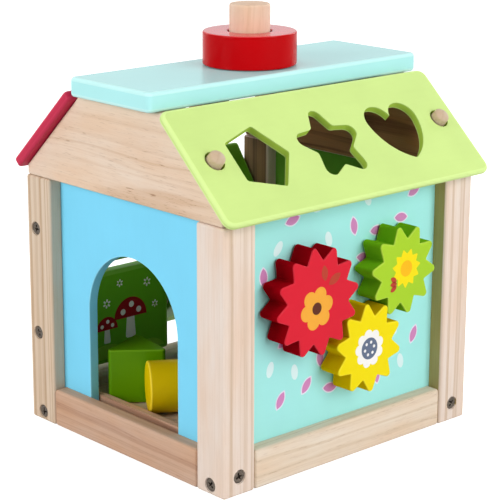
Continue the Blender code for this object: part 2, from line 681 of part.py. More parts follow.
# Lid pegs stand in the gable boards and pass through the lid
peg_radius = PEG_DIAMETER / 2
peg_top = JOINT_GAP + ROOF_BOARD_THICKNESS + PEG_STICK_OUT
peg_profile = [(0.0, -PEG_DEPTH), (peg_radius, -PEG_DEPTH), (peg_radius, peg_top - PEG_DOME)]
for i in range(1, ROUND_STEPS + 2):
    turn = math.pi / 2 * i / (ROUND_STEPS + 1)
    peg_profile.append((peg_radius * math.cos(turn), peg_top - PEG_DOME * (1 - math.sin(turn))))
peg_profile[-1] = (0.0, peg_top)
for name, side, edge_inset in (("lid_peg_left", -1, PEG_INSET_LEFT), ("lid_peg_right", 1, PEG_INSET_RIGHT)):
    peg_x = side * (HALF_LENGTH - edge_inset)
    peg_frame = Matrix.Translation((peg_x, 0.0, 0.0)) @ slope_frame(-1, PEG_SLOPE, 0.0)
    peg = finish_object(name, turned_mesh(peg_profile, TURN_STEPS // 2), "beech_dark")
    peg.matrix_world = peg_frame
    socket = slab_mesh(circle_outline(PEG_DIAMETER + 2 * JOINT_GAP), -PEG_DEPTH - JOINT_GAP, OVERRUN)
    cut(gable_boards[side], socket, name + "_socket", peg_frame)
    passage = slab_mesh(circle_outline(PEG_DIAMETER + 2 * PEG_HOLE_CLEARANCE), -OVERRUN, ROOF_BOARD_THICKNESS + OVERRUN)
    cut(roof_lid, passage, name + "_passage", peg_frame)

# Ridge board, with the chimney peg let in and the ring over it
ridge_half_x = HALF_LENGTH + RIDGE_OVERHANG
ridge_outline = rectangle_outline(ridge_half_x, BOARD_TOP_HALF_Y, RIDGE_CORNER)
ridge = finish_object("ridge_board", round_edged_mesh(ridge_outline, RIDGE_THICKNESS, RIDGE_ROUND), "pale_blue")
place(ridge, (0.0, 0.0, RIDGE_UNDERSIDE))
tenon_hole = slab_mesh(
    circle_outline(CHIMNEY_TENON + 2 * JOINT_GAP), RIDGE_UNDERSIDE - OVERRUN, RIDGE_TOP + OVERRUN
)
cut(ridge, tenon_hole, "chimney_socket")
chimney_radius = CHIMNEY_DIAMETER / 2
chimney_foot = JOINT_GAP
chimney_profile = [
    (0.0, -RIDGE_THICKNESS),
    (CHIMNEY_TENON / 2, -RIDGE_THICKNESS),
    (CHIMNEY_TENON / 2, chimney_foot),
    (chimney_radius, chimney_foot),
]
chimney_profile += arc(
    (chimney_radius - CHIMNEY_ROUND, CHIMNEY_HEIGHT - CHIMNEY_ROUND), CHIMNEY_ROUND, 0.0, math.pi / 2, 4
)
chimney_profile.append((0.0, CHIMNEY_HEIGHT))
chimney = finish_object("chimney_peg", turned_mesh(chimney_profile, TURN_STEPS), "beech")
place(chimney, (0.0, 0.0, RIDGE_TOP))
ring_section = rectangle_outline((RING_DIAMETER - RING_BORE) / 4, RING_HEIGHT / 2, RING_ROUND)
ring_middle = (RING_DIAMETER + RING_BORE) / 4
ring_profile = [(x + ring_middle, y + RING_HEIGHT / 2) for x, y in ring_section]
ring = finish_object("chimney_ring", turned_mesh(ring_profile, RING_STEPS, closed=True), "red")
place(ring, (0.0, 0.0, RIDGE_TOP + JOINT_GAP))

# Gears, each on an axle from behind the front panel
small_mesh = GEAR_MODULE * SMALL_TEETH
red_mesh = GEAR_MODULE * (RED_TEETH + SMALL_TEETH) / 2
yellow_x = RED_X + red_mesh * math.cos(YELLOW_BEARING)
yellow_z = RED_Z + red_mesh * math.sin(YELLOW_BEARING)
green_x = yellow_x + small_mesh * math.cos(GREEN_BEARING)
green_z = yellow_z + small_mesh * math.sin(GREEN_BEARING)
panel_face_y = -HALF_WIDTH + FRONT_PANEL_RECESS
panel_inner_y = panel_face_y + PANEL_THICKNESS
gear_back_y = panel_face_y - GEAR_PANEL_GAP
axle_radius = AXLE_DIAMETER / 2
axle_profile = [
    (0.0, -AXLE_HEAD_THICKNESS),
    (AXLE_HEAD_DIAMETER / 2, -AXLE_HEAD_THICKNESS),
    (AXLE_HEAD_DIAMETER / 2, 0.0),
    (axle_radius, 0.0),
    (axle_radius, JOINT_GAP + PANEL_THICKNESS + GEAR_PANEL_GAP + AXLE_REACH),
    (0.0, JOINT_GAP + PANEL_THICKNESS + GEAR_PANEL_GAP + AXLE_REACH),
]
bore_outline = circle_outline(AXLE_DIAMETER + 2 * AXLE_CLEARANCE, TURN_STEPS // 2)
for colour, paint_name, teeth, phase, x, z in (
    ("red", "red", RED_TEETH, RED_PHASE, RED_X, RED_Z),
    ("yellow", "yellow", SMALL_TEETH, YELLOW_PHASE, yellow_x, yellow_z),
    ("green", "leaf", SMALL_TEETH, GREEN_PHASE, green_x, green_z),
):
    gear_frame = frame_at((x, gear_back_y, z), upright_y)
    body = round_edged_mesh(gear_outline(teeth, phase), GEAR_THICKNESS, GEAR_EDGE_ROUND)
    gear = finish_object("gear_" + colour, body, paint_name)
    gear.matrix_world = gear_frame
    bore = slab_mesh(bore_outline, -OVERRUN, AXLE_REACH + AXLE_CLEARANCE)
    cut(gear, bore, "gear_" + colour + "_bore", gear_frame)
    axle = finish_object("axle_" + colour, turned_mesh(axle_profile, TURN_STEPS // 2), "beech_dark")
    place(axle, (x, panel_inner_y + JOINT_GAP, z), upright_y)
    through = slab_mesh(bore_outline, -PANEL_THICKNESS, PANEL_THICKNESS)
    panel_hole_frame = frame_at((x, FRONT_PANEL_Y, z), upright_y)
    cut(gear_panel, through, "panel_hole_" + colour, panel_hole_frame)

# Rods across the back, and the picture tiles that turn on them
rod_length = 2 * (BAY_X - JOINT_GAP)
along_x = (0.0, math.pi / 2, 0.0)
rods = {}
for name, z in (("rod_lower", ROD_LOWER_Z), ("rod_upper", ROD_UPPER_Z)):
    body = slab_mesh(circle_outline(ROD_DIAMETER, TURN_STEPS // 2), -rod_length / 2, rod_length / 2)
    rods[z] = place(finish_object(name, body, "beech"), (0.0, ROD_Y, z), along_x)
for name, side, z, tilt in (
    ("tile_lower_left", -1, ROD_LOWER_Z, 0.0),
    ("tile_lower_right", 1, ROD_LOWER_Z, TILE_TILT_LOWER_RIGHT),
    ("tile_upper_left", -1, ROD_UPPER_Z, 0.0),
    ("tile_upper_right", 1, ROD_UPPER_Z, TILE_TILT_UPPER_RIGHT),
):
    middle_x = side * (TILE_END_GAP + TILE_LENGTH / 2)
    half = (TILE_LENGTH / 2, TILE_THICKNESS / 2, TILE_HEIGHT / 2)
    tile = finish_object(name, box_mesh([-size for size in half], half), "tile_green")
    tile_frame = frame_at((middle_x, ROD_Y, z), (tilt, 0.0, 0.0))
    tile.matrix_world = tile_frame
    soften(tile, TILE_ROUND)
    hole = slab_mesh(circle_outline(ROD_DIAMETER + 2 * AXLE_CLEARANCE), -TILE_LENGTH, TILE_LENGTH)
    cut(tile, hole, name + "_hole", tile_frame @ frame_at((0.0, 0.0, 0.0), along_x))

# Screws through the posts, into the rail ends and the rod ends
toward_right = (0.0, -math.pi / 2, 0.0)
toward_left = (0.0, math.pi / 2, 0.0)
toward_back = (math.pi / 2, 0.0, 0.0)
toward_front = (-math.pi / 2, 0.0, 0.0)
for end, side_x, inward in (("left", -1, toward_right), ("right", 1, toward_left)):
    for face, side_y in (("front", -1), ("back", 1)):
        pieces = [posts[(side_x, side_y)], rails[(0, side_y)]]
        spot = (side_x * HALF_LENGTH, side_y * POST_Y, END_SCREW_Z)
        drive_screw("screw_end_" + face + "_" + end, spot, inward, pieces)
    for level, z in (("lower", ROD_LOWER_Z), ("upper", ROD_UPPER_Z)):
        pieces = [posts[(side_x, 1)], rods[z]]
        drive_screw("screw_rod_" + level + "_" + end, (side_x * HALF_LENGTH, ROD_Y, z), inward, pieces)
for face, side_y, inward in (("front", -1, toward_back), ("back", 1, toward_front)):
    for end, side_x in (("left", -1), ("right", 1)):
        pieces = [posts[(side_x, side_y)], rails[(side_x, 0)]]
        spot = (side_x * POST_X, side_y * HALF_WIDTH, SIDE_SCREW_Z)
        drive_screw("screw_side_" + face + "_" + end, spot, inward, pieces)

# Loose blocks on the floor, each shaped by the hole that it passes
def block_outline(hole_outline, turn):
    """The outline of the block for a hole, turned about its middle."""
    spin = Matrix.Rotation(turn, 2)
    return [tuple(spin @ Vector(point)) for point in inset(hole_outline, BLOCK_CLEARANCE)]


def reach(outline, x, y):
    """How far an outline reaches from its middle in one direction."""
    return max(point[0] * x + point[1] * y for point in outline)


def stand_block(name, outline, paint_name, x, y):
    """A block standing on the floor board with rounded rims."""
    body = round_edged_mesh(outline, BLOCK_HEIGHT, BLOCK_ROUND)
    place(finish_object(name, body, paint_name), (x, y, BLOCK_REST))


prism = block_outline(triangle_outline(), PRISM_TURN)
prism_x = -RAIL_BAY_X + BLOCK_SPACING + reach(prism, -1, 0)
prism_y = TILE_SWEEP_Y - BLOCK_SPACING - reach(prism, 0, 1)
stand_block("block_triangle", prism, "leaf", prism_x, prism_y)

# The cylinder lies against the prism, its left end near the wall under the doorway
cylinder_radius = CIRCLE_DIAMETER / 2 - BLOCK_CLEARANCE
cylinder_profile = [(0.0, 0.0)]
cylinder_profile += arc((cylinder_radius - BLOCK_ROUND, BLOCK_ROUND), BLOCK_ROUND, -math.pi / 2, 0.0, ROUND_STEPS)
upper_rim = (cylinder_radius - BLOCK_ROUND, BLOCK_HEIGHT - BLOCK_ROUND)
cylinder_profile += arc(upper_rim, BLOCK_ROUND, 0.0, math.pi / 2, ROUND_STEPS)
cylinder_profile.append((0.0, BLOCK_HEIGHT))
cylinder = finish_object("block_cylinder", turned_mesh(cylinder_profile, TURN_STEPS), "yellow")
side_x = -math.sin(CYLINDER_TURN)
side_y = math.cos(CYLINDER_TURN)
cylinder_x = -RAIL_BAY_X + cylinder_radius * CYLINDER_WALL_SHARE
prism_line = prism_x * side_x + prism_y * side_y - reach(prism, -side_x, -side_y)
cylinder_y = (prism_line - cylinder_radius - BLOCK_SPACING / 2 - cylinder_x * side_x) / side_y
lying = (cylinder_x, cylinder_y, BLOCK_REST + cylinder_radius)
cylinder.matrix_world = frame_at(lying, (0.0, math.pi / 2, CYLINDER_TURN))

# A row of three blocks along the front wall, packed towards the right, and the heart behind them
row_x = RAIL_BAY_X
for name, hole_outline, paint_name, turn in (
    ("block_pentagon", pentagon_outline(), "red", PENTAGON_TURN),
    ("block_star", star_outline(), "sky_blue", STAR_TURN),
    ("block_square", square_outline, "sky_blue", SQUARE_TURN),
):
    outline = block_outline(hole_outline, turn)
    row_x -= BLOCK_SPACING + reach(outline, 1, 0)
    stand_block(name, outline, paint_name, row_x, -RAIL_BAY_Y + BLOCK_SPACING + reach(outline, 0, -1))
    row_x -= reach(outline, -1, 0)
heart = block_outline(heart_outline(), HEART_TURN)
heart_x = RAIL_BAY_X - BLOCK_SPACING - reach(heart, 1, 0)
stand_block("block_heart", heart, "crimson", heart_x, TILE_SWEEP_Y - BLOCK_SPACING - reach(heart, 0, 1))

# The whole house hangs on one empty, which brings the middle of its box over the origin
house = bpy.data.objects.new("house", None)
bpy.context.scene.collection.objects.link(house)
house.location = (0.0, HOUSE_MIDDLE_Y, 0.0)
for obj in bpy.data.objects:
    if obj != house:
        obj.parent = house
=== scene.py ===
# %% [markdown]
# # A wooden activity house
# This lesson dresses a measured model of a child's wooden house: posts, rails and painted panels under a pitched
# roof, with gears on the front, a doorway in one gable and picture tiles on rods at the back.
# The measured model is a fixed frame. Each visible piece is made again in its place, with finer edges, and gets a
# finish built from nodes.

# %% Load the measured model
from math import acos, asin, atan2, cos, pi, radians, sin, sqrt, tan

import bmesh
import bpy
from mathutils import Matrix, Vector


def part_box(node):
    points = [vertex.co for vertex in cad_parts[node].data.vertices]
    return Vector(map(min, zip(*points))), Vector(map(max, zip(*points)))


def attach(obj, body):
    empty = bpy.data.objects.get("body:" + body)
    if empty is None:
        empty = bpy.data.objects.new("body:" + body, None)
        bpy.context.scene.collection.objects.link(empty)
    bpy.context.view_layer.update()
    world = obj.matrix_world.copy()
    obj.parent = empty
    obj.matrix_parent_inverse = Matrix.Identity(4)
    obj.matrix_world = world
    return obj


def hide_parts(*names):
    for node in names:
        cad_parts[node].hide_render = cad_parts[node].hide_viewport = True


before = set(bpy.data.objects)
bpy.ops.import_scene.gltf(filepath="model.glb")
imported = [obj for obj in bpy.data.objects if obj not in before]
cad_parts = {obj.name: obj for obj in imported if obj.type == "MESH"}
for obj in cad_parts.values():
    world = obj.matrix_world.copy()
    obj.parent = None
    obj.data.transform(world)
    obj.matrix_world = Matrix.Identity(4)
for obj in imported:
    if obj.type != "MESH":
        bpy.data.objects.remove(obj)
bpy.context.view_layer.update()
scene, ops = bpy.context.scene, bmesh.ops
MM = 0.001

# %% [markdown]
# ## The camera
# The photograph looks down on the near corner from about a metre away, so both long edges run off to the sides.
# A camera can be aimed with a target or placed by numbers. These numbers were fitted to lines of the photograph, so
# place, turn and lens go together.

# %% Place the camera
camera_data = bpy.data.cameras.new("camera")
camera_data.sensor_width = 36.0
camera_data.lens = 126.749
camera_data.shift_x = 0.060
camera_data.shift_y = -0.040
camera = bpy.data.objects.new("camera", camera_data)
camera.location = (-0.66440, -0.72615, 0.37015)
camera.rotation_euler = (radians(90.0 - 14.657), 0.0, radians(-41.624))
scene.collection.objects.link(camera)
scene.camera = camera
scene.view_settings.view_transform = "Standard"
print("lens:", camera_data.lens)

# %% [markdown]
# ## A short way to wire nodes
# Light, floor and every finish below are small trees of nodes. Wiring them link by link is long, so one helper makes
# a node, sets its numbers and connects whatever is already an output. The others wrap the few kinds used most.

# %% Helpers for nodes
def add_node(tree, kind, feeds=None, **settings):
    """Make a node. Feeds are numbers, or outputs of other nodes, by input name or place."""
    made = tree.nodes.new("ShaderNode" + kind)
    for name, value in settings.items():
        setattr(made, name, value)
    for key, value in (feeds or {}).items():
        if isinstance(value, bpy.types.NodeSocket):
            tree.links.new(value, made.inputs[key])
        else:
            made.inputs[key].default_value = value
    return made


def remap(tree, value, low, high, to_low=0.0, to_high=1.0, **settings):
    """A value carried from one range to another, and held inside it."""
    feeds = {"Value": value, "From Min": low, "From Max": high, "To Min": to_low, "To Max": to_high}
    return add_node(tree, "MapRange", feeds, **settings).outputs[0]


def calc(tree, operation, *values, **settings):
    """The result of a sum on numbers or outputs."""
    return add_node(tree, "Math", dict(enumerate(values)), operation=operation, **settings).outputs[0]


def blend(tree, factor, first, second):
    """A colour that goes from the first to the second with the factor."""
    return add_node(tree, "Mix", {"Factor": factor, "A": first, "B": second}, data_type="RGBA").outputs["Result"]


def noise(tree, vector, scale, detail, roughness=0.5):
    """A cloudy pattern in space."""
    feeds = {"Vector": vector, "Scale": scale, "Detail": detail, "Roughness": roughness}
    return add_node(tree, "TexNoise", feeds).outputs["Fac"]


def face_value(tree, name):
    """A number that the mesh carries on its faces."""
    return add_node(tree, "Attribute", attribute_name=name).outputs["Fac"]


def start_finish(name, roughness):
    """A new material with its tree and its shader."""
    material = bpy.data.materials.new(name)
    material.use_nodes = True
    shader = material.node_tree.nodes["Principled BSDF"]
    shader.inputs["Roughness"].default_value = roughness
    return material, material.node_tree, shader


def coat(tree, shader, colour, gloss, height, strength, distance):
    """Wire colour, roughness and a fine relief to the shader."""
    tree.links.new(colour, shader.inputs["Base Color"])
    tree.links.new(gloss, shader.inputs["Roughness"])
    relief = add_node(tree, "Bump", {"Height": height, "Strength": strength, "Distance": distance})
    tree.links.new(relief.outputs[0], shader.inputs["Normal"])


def tone(red, green, blue):
    """A colour as it is read on the screen, turned into the linear one that the nodes use."""
    parts = [value / 255.0 for value in (red, green, blue)]
    return tuple(p / 12.92 if p <= 0.04045 else ((p + 0.055) / 1.055) ** 2.4 for p in parts) + (1.0,)


# %% [markdown]
# ## Light
# A packshot is lit by big soft boxes in a white room. A white world gives the room, and wide lamps add a soft
# direction, so that rounded edges catch a highlight. Two strong ones stand at the left and in front, and three weak
# ones fill the other sides.

# %% Set the light
LAMP_AIM = Vector((0.0, 0.0, 0.10))
ROOM_LIGHT = 0.22


def soft_box(name, place, size, power):
    """A wide lamp that looks at the middle of the house."""
    lamp = bpy.data.lights.new(name, "AREA")
    lamp.shape = "DISK"
    lamp.size = size
    lamp.energy = power
    holder = bpy.data.objects.new(name, lamp)
    holder.location = place
    holder.rotation_euler = (LAMP_AIM - Vector(place)).to_track_quat("-Z", "Y").to_euler()
    scene.collection.objects.link(holder)


def seen_directly(tree):
    """One for what the camera or a mirror sees, nought for what only lights other things."""
    rays = add_node(tree, "LightPath")
    return calc(tree, "MAXIMUM", rays.outputs["Is Camera Ray"], rays.outputs["Is Glossy Ray"])


soft_box("lamp_left", (-1.95, 0.30, 0.80), 1.2, 28.0)
soft_box("lamp_front", (0.35, -1.90, 0.85), 1.8, 36.0)
soft_box("lamp_top", (-0.1, 0.1, 1.9), 1.2, 6.0)
soft_box("lamp_right", (2.2, 0.2, 1.0), 1.2, 11.0)
soft_box("lamp_behind", (-0.3, 2.2, 1.0), 1.2, 11.0)

world = bpy.data.worlds.new("white_room")
world.use_nodes = True
scene.world = world
sky = world.node_tree
backdrop = sky.nodes["Background"]
backdrop.inputs["Color"].default_value = (1.0, 1.0, 1.0, 1.0)
sky.links.new(remap(sky, seen_directly(sky), 0.0, 1.0, ROOM_LIGHT, 1.0), backdrop.inputs["Strength"])
print("lamps and world set")

# %% [markdown]
# ## The floor
# The floor is a pale sheet that keeps the shadow. To the camera and in reflections it also glows a little, which
# carries it to white where no shadow falls, and the glow grows with distance as the lamps grow weaker.

# %% Lay the floor
FLOOR_HALF = 14.0
NEAR, FAR = 0.5, 2.5
bm = bmesh.new()
ops.create_grid(bm, x_segments=2, y_segments=2, size=FLOOR_HALF)
floor_mesh = bpy.data.meshes.new("floor")
bm.to_mesh(floor_mesh)
bm.free()
floor = bpy.data.objects.new("floor", floor_mesh)
scene.collection.objects.link(floor)
paper, tree, matt = start_finish("floor_paper", 1.0)
matt.inputs["Base Color"].default_value = (0.58, 0.58, 0.58, 1.0)
matt.inputs["Specular IOR Level"].default_value = 0.0
spot = add_node(tree, "TexCoord").outputs["Object"]
away = add_node(tree, "VectorMath", {0: spot}, operation="LENGTH").outputs["Value"]
glow = add_node(tree, "Emission", {"Strength": remap(tree, away, NEAR, FAR, 0.80, 1.0)})
both = add_node(tree, "AddShader", {0: matt.outputs[0], 1: glow.outputs[0]})
choose = add_node(tree, "MixShader", {0: seen_directly(tree), 1: matt.outputs[0], 2: both.outputs[0]})
tree.links.new(choose.outputs[0], tree.nodes["Material Output"].inputs["Surface"])
floor_mesh.materials.append(paper)
print("floor laid")

# %% [markdown]
# ## Bare wood
# The posts, rails and gable boards are pale, clear-finished wood. Real grain is a solid pattern: rings round the
# heart of the tree, drawn out along the trunk. A wave texture makes rings too, but all of one width. Noise over the
# distance from the heart makes broad and narrow years, and face and end grain still agree at every corner.

# %% The wood finish
PORE_TONE = (150, 108, 80)


def wood_finish(name, along, heart, ring=0.0060, light=(226, 206, 187), dark=(203, 170, 141),
                contrast=0.8, flecks=0.35, sway=0.016):
    """Clear wood with its grain along one axis and the heart of its tree at a point, in metres."""
    material, tree, shader = start_finish(name, 0.5)
    shader.inputs["Specular IOR Level"].default_value = 0.12
    space = add_node(tree, "TexCoord").outputs["Object"]

    def drawn_out(across, length):
        way = [across] * 3
        way["XYZ".index(along)] = length
        feeds = {"Vector": space, "Location": heart, "Scale": way}
        return add_node(tree, "Mapping", feeds, vector_type="TEXTURE").outputs[0]

    trunk = drawn_out(1.0, 11.0)
    reach = add_node(tree, "VectorMath", {0: trunk}, operation="LENGTH").outputs["Value"]
    years = calc(tree, "MULTIPLY_ADD", noise(tree, trunk, 60.0, 2.0), sway, reach)
    feeds = {"W": years, "Scale": 1.0 / ring, "Detail": 3.0, "Roughness": 0.62}
    rings = add_node(tree, "TexNoise", feeds, noise_dimensions="1D").outputs["Fac"]
    band = remap(tree, rings, 0.46, 0.70, interpolation_type="SMOOTHSTEP")
    fibres = noise(tree, drawn_out(0.0009, 0.045), 1.0, 3.0, 0.6)
    pores = noise(tree, drawn_out(0.0006, 0.0075), 1.0, 3.0, 0.6)
    clouds = noise(tree, drawn_out(0.020, 0.080), 1.0, 3.0, 0.6)

    late_wood = calc(tree, "MULTIPLY_ADD", band, 0.7, 0.3)
    dash = calc(tree, "MULTIPLY", remap(tree, pores, 0.58, 0.72, 0.0, flecks), late_wood)
    darkness = calc(tree, "MULTIPLY_ADD", remap(tree, fibres, 0.40, 0.72), 0.35, band)
    darkness = calc(tree, "MULTIPLY", darkness, contrast, use_clamp=True)
    warmer = (light[0] - 2, light[1] - 12, light[2] - 20)
    colour = blend(tree, remap(tree, clouds, 0.35, 0.65), tone(*light), tone(*warmer))
    colour = blend(tree, darkness, colour, tone(*dark))
    colour = blend(tree, dash, colour, tone(*PORE_TONE))
    coat(tree, shader, colour, remap(tree, fibres, 0.0, 1.0, 0.42, 0.62), fibres, 0.16, 0.0003)
    return material


# %% [markdown]
# ## Painted wood
# The coloured pieces carry a sprayed satin lacquer, nearly even but not flat: a little thicker in places, with the
# fibres as fine relief. Two face values of the mesh steer painted light: rim marks rounded edges, which take a
# lighter colour as a painted highlight, and flank marks the deep sides of gears, ring and holes, which take a
# darker colour as painted shade and hardly mirror the room.

# %% The paint finish
def paint_finish(name, colour, rim_highlight_colour, along="X", roughness=0.34, depth=0.95, specular=0.10,
                 flank_shade_colour=None):
    """Satin lacquer over wood: gentle clouds, faint fibres, painted highlight on rims, painted shade on flanks."""
    material, tree, shader = start_finish(name, roughness)
    shader.inputs["Specular IOR Level"].default_value = specular
    space = add_node(tree, "TexCoord").outputs["Object"]
    way = [0.0022] * 3
    way["XYZ".index(along)] = 0.02
    laid = add_node(tree, "Mapping", {"Vector": space, "Scale": way}, vector_type="TEXTURE").outputs[0]
    fibres = noise(tree, laid, 1.0, 2.0)
    mist = calc(tree, "MULTIPLY_ADD", fibres, 0.2, noise(tree, space, 30.0, 3.0))
    shade = [value * depth for value in tone(*colour)[:3]] + [1.0]
    coloured = blend(tree, remap(tree, mist, 0.35, 0.85), shade, tone(*colour))
    # Painted highlight: the rounded rims are mixed halfway to the lighter rim colour.
    rim_highlight = calc(tree, "MULTIPLY", face_value(tree, "rim"), 0.5)
    coloured = blend(tree, rim_highlight, coloured, tone(*rim_highlight_colour))
    # Painted shade: the flanks take a darker colour and no reflection.
    if flank_shade_colour:
        flank = face_value(tree, "flank")
        coloured = blend(tree, flank, coloured, tone(*flank_shade_colour))
        tree.links.new(remap(tree, flank, 0.0, 1.0, specular, 0.0), shader.inputs["Specular IOR Level"])
    gloss = remap(tree, mist, 0.3, 0.9, roughness - 0.012, roughness + 0.012)
    coat(tree, shader, coloured, gloss, fibres, 0.04, 0.0002)
    return material


# %% [markdown]
# ## Screw steel
# The screws are small and dull, so a metal with an uneven roughness and fine scratches is enough.

# %% The steel finish
steel, tree, shader = start_finish("screw_steel", 0.35)
shader.inputs["Metallic"].default_value = 1.0
grime = noise(tree, add_node(tree, "TexCoord").outputs["Object"], 900.0, 3.0)
grey = blend(tree, grime, tone(36, 30, 26), tone(120, 110, 100))
coat(tree, shader, grey, remap(tree, grime, 0.0, 1.0, 0.25, 0.55), grime, 0.2, 0.0001)
print("finishes ready")

# %% [markdown]
# ## From a bmesh to a finished piece
# Plain smooth shading averages the normals of all faces at a corner, which would bend the light on the big flat
# faces beside a rounded rim. The custom normals below let large faces decide, and leave real corners sharp. Then
# the piece is hung on its body, and takes the place of the measured node.

# %% Helpers that finish a piece
MERGE = 0.002 * MM
GENTLE = 0.6
ALIGNED = 0.9


def face_out(bm):
    """Let all faces of a solid look outward."""
    ops.recalc_face_normals(bm, faces=bm.faces)


def even_normals(mesh):
    """Corner normals weighted by area, over the faces that turn gently into one another."""
    around = [[] for _ in mesh.vertices]
    for face in mesh.polygons:
        for index in face.vertices:
            around[index].append((face.normal.copy(), face.area))
    corners = []
    for face in mesh.polygons:
        for index in face.vertices:
            total = Vector()
            for normal, area in around[index]:
                if normal.dot(face.normal) > GENTLE:
                    total += normal * area
            corners.append(total.normalized())
    mesh.normals_split_custom_set(corners)


def make_piece(name, bm, body, nodes, finishes):
    """Turn a closed bmesh into a piece that rides on a body and stands for CAD nodes."""
    ops.remove_doubles(bm, verts=bm.verts, dist=MERGE)
    face_out(bm)
    mesh = bpy.data.meshes.new(name)
    bm.to_mesh(mesh)
    bm.free()
    mesh.shade_smooth()
    even_normals(mesh)
    piece = bpy.data.objects.new(name, mesh)
    scene.collection.objects.link(piece)
    for finish in finishes:
        mesh.materials.append(finish)
    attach(piece, body)
    if nodes:
        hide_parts(*nodes)
    print(name, len(mesh.polygons), "faces")


def dress(node, finish):
    """Give a measured node a finish and leave its mesh alone."""
    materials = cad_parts[node].data.materials
    materials.clear()
    materials.append(finish)


def at(x, y, z):
    """The matrix that carries a piece to a point."""
    return Matrix.Translation((x, y, z))


def move(bm, place):
    """Put a bmesh in its place by a matrix."""
    ops.transform(bm, matrix=place, verts=bm.verts)
    return bm


def soften(bm, radius, segments=4, turn=50.0, only=None):
    """Round the rims of a solid, and mark the new faces for the paint's painted highlight."""
    rim = bm.faces.layers.float.get("rim") or bm.faces.layers.float.new("rim")
    face_out(bm)
    edges = [e for e in bm.edges if len(e.link_faces) == 2 and e.calc_face_angle() > radians(turn)]
    if only:
        edges = [e for e in edges if only(e)]
    made = ops.bevel(
        bm, geom=edges, offset=radius, offset_type="OFFSET", segments=segments, profile=0.5,
        affect="EDGES", clamp_overlap=True, material=-1,
    )
    for face in made["faces"]:
        face[rim] = 1.0
    return bm


def mark_flanks(bm, amount=1.0):
    """Mark the upright faces, which the paint darkens as painted shade."""
    face_out(bm)
    flank = bm.faces.layers.float.new("flank")
    for face in bm.faces:
        face[flank] = amount if abs(face.normal.z) < 0.5 else 0.0


def shade_inward_faces(bm, side):
    """Give the faces that look into the house, from its left or right side, the second finish: painted shade."""
    for face in bm.faces:
        face.material_index = 1 if face.normal.x * side < -ALIGNED else 0


def rounded_board(low, high, radius, segments=4):
    """A board between two corners with rounded edges."""
    bm = bmesh.new()
    ops.create_cube(bm, size=1.0)
    ops.scale(bm, vec=Vector(high) - Vector(low), verts=bm.verts)
    ops.translate(bm, vec=(Vector(high) + Vector(low)) / 2, verts=bm.verts)
    return soften(bm, radius, segments)


# %% [markdown]
# ## Holes and pockets
# Screw heads sit in countersunk holes and panels in grooves. A boolean could cut them, but it leaves untidy faces.
# Here the flat face is taken out, filled again round a loop of points, and the loop is pushed into the wood.

# %% Helpers that sink pockets into a flat face
def joined(bm, points):
    """A closed loop of edges through points."""
    verts = [bm.verts.new(point) for point in points]
    return [bm.edges.new((verts[i - 1], verts[i])) for i in range(len(verts))]


def open_face(bm, outward, loops):
    """Fill the largest face that looks outward again, round loops of points that stay open."""
    outward = Vector(outward)
    face = max((f for f in bm.faces if f.normal.dot(outward) > 0.99), key=lambda f: f.calc_area())
    border = list(face.edges)
    ops.delete(bm, geom=[face], context="FACES_ONLY")
    rings = [joined(bm, points) for points in loops]
    everything = border + [edge for ring in rings for edge in ring]
    ops.triangle_fill(bm, use_beauty=True, use_dissolve=False, edges=everything, normal=outward)
    return rings


def push_in(bm, ring, step, shrink=1.0):
    """Draw a ring of edges into the wood by a step, and give back the ring at the far end."""
    grown = ops.extrude_edge_only(bm, edges=ring)["geom"]
    verts = [item for item in grown if isinstance(item, bmesh.types.BMVert)]
    middle = sum((v.co for v in verts), Vector()) / len(verts)
    ops.scale(bm, vec=(shrink, shrink, shrink), space=Matrix.Translation(-middle), verts=verts)
    ops.translate(bm, vec=step, verts=verts)
    edges = [item for item in grown if isinstance(item, bmesh.types.BMEdge)]
    return [edge for edge in edges if all(v in verts for v in edge.verts)]


def sink(bm, outward, pockets):
    """Sink pockets into one flat face. A pocket is its points and its steps of (depth, shrink)."""
    outward = Vector(outward)
    face_out(bm)
    rings = open_face(bm, outward, [points for points, steps in pockets])
    for ring, (points, steps) in zip(rings, pockets):
        for depth, shrink in steps:
            ring = push_in(bm, ring, -outward * depth, shrink)
        ops.edgeloop_fill(bm, edges=ring)


def circle_at(middle, axis, radius, count=40):
    """The points of a circle round an axis."""
    turn = Vector(axis).to_track_quat("Z", "Y").to_matrix()
    angles = [2 * pi * i / count for i in range(count)]
    return [Vector(middle) + turn @ Vector((radius * cos(a), radius * sin(a), 0.0)) for a in angles]


def rectangle(left, right, low, high):
    """The corners of a rectangle, anticlockwise."""
    return [(left, low), (right, low), (right, high), (left, high)]


# %% [markdown]
# ## Posts
# Four square posts carry everything. They are planed, with lightly rounded edges, grooved for the panels, and
# countersunk for the screws: two low down on each corner, and two more on the back posts where the tile rods end.
# The sides that look into the house are painted darker and browner, as painted shade of the dim inside.

# %% Make the posts
HOUSE_Y = -3.5 * MM
POST = 22.0 * MM
POST_ROUND = 1.5 * MM
GABLE_X = 84.0 * MM
SLOT_HALF = 3.3 * MM
SLOT_DEPTH = 5.0 * MM
SLOT_FOOT, SLOT_TOP = 17.0 * MM, 145.0 * MM
SCREW_HOLE = 4.1 * MM
SCREW_SINK = [(0.9 * MM, 0.96), (1.4 * MM, 0.62)]
YEAR_RING = 0.0045
PALE_POST, TAN_POST = ((229, 214, 203), (204, 178, 154)), ((216, 197, 176), (184, 154, 124))
# The inward sides take darker tones: painted shade of the dim inside of the house.
FRONT_INSIDE_SHADE, BACK_INSIDE_SHADE = ((202, 178, 120), (176, 150, 96)), ((158, 134, 104), (114, 90, 66))
posts = {
    "front_left": (-1, -1, (-0.2115, -0.088, 0.0), PALE_POST, FRONT_INSIDE_SHADE),
    "front_right": (1, -1, (0.240, -0.086, 0.0), PALE_POST, FRONT_INSIDE_SHADE),
    "back_left": (-1, 1, (-0.092, 0.240, 0.0), TAN_POST, BACK_INSIDE_SHADE),
    "back_right": (1, 1, (0.088, 0.260, 0.0), PALE_POST, BACK_INSIDE_SHADE),
}
screw_spots = []
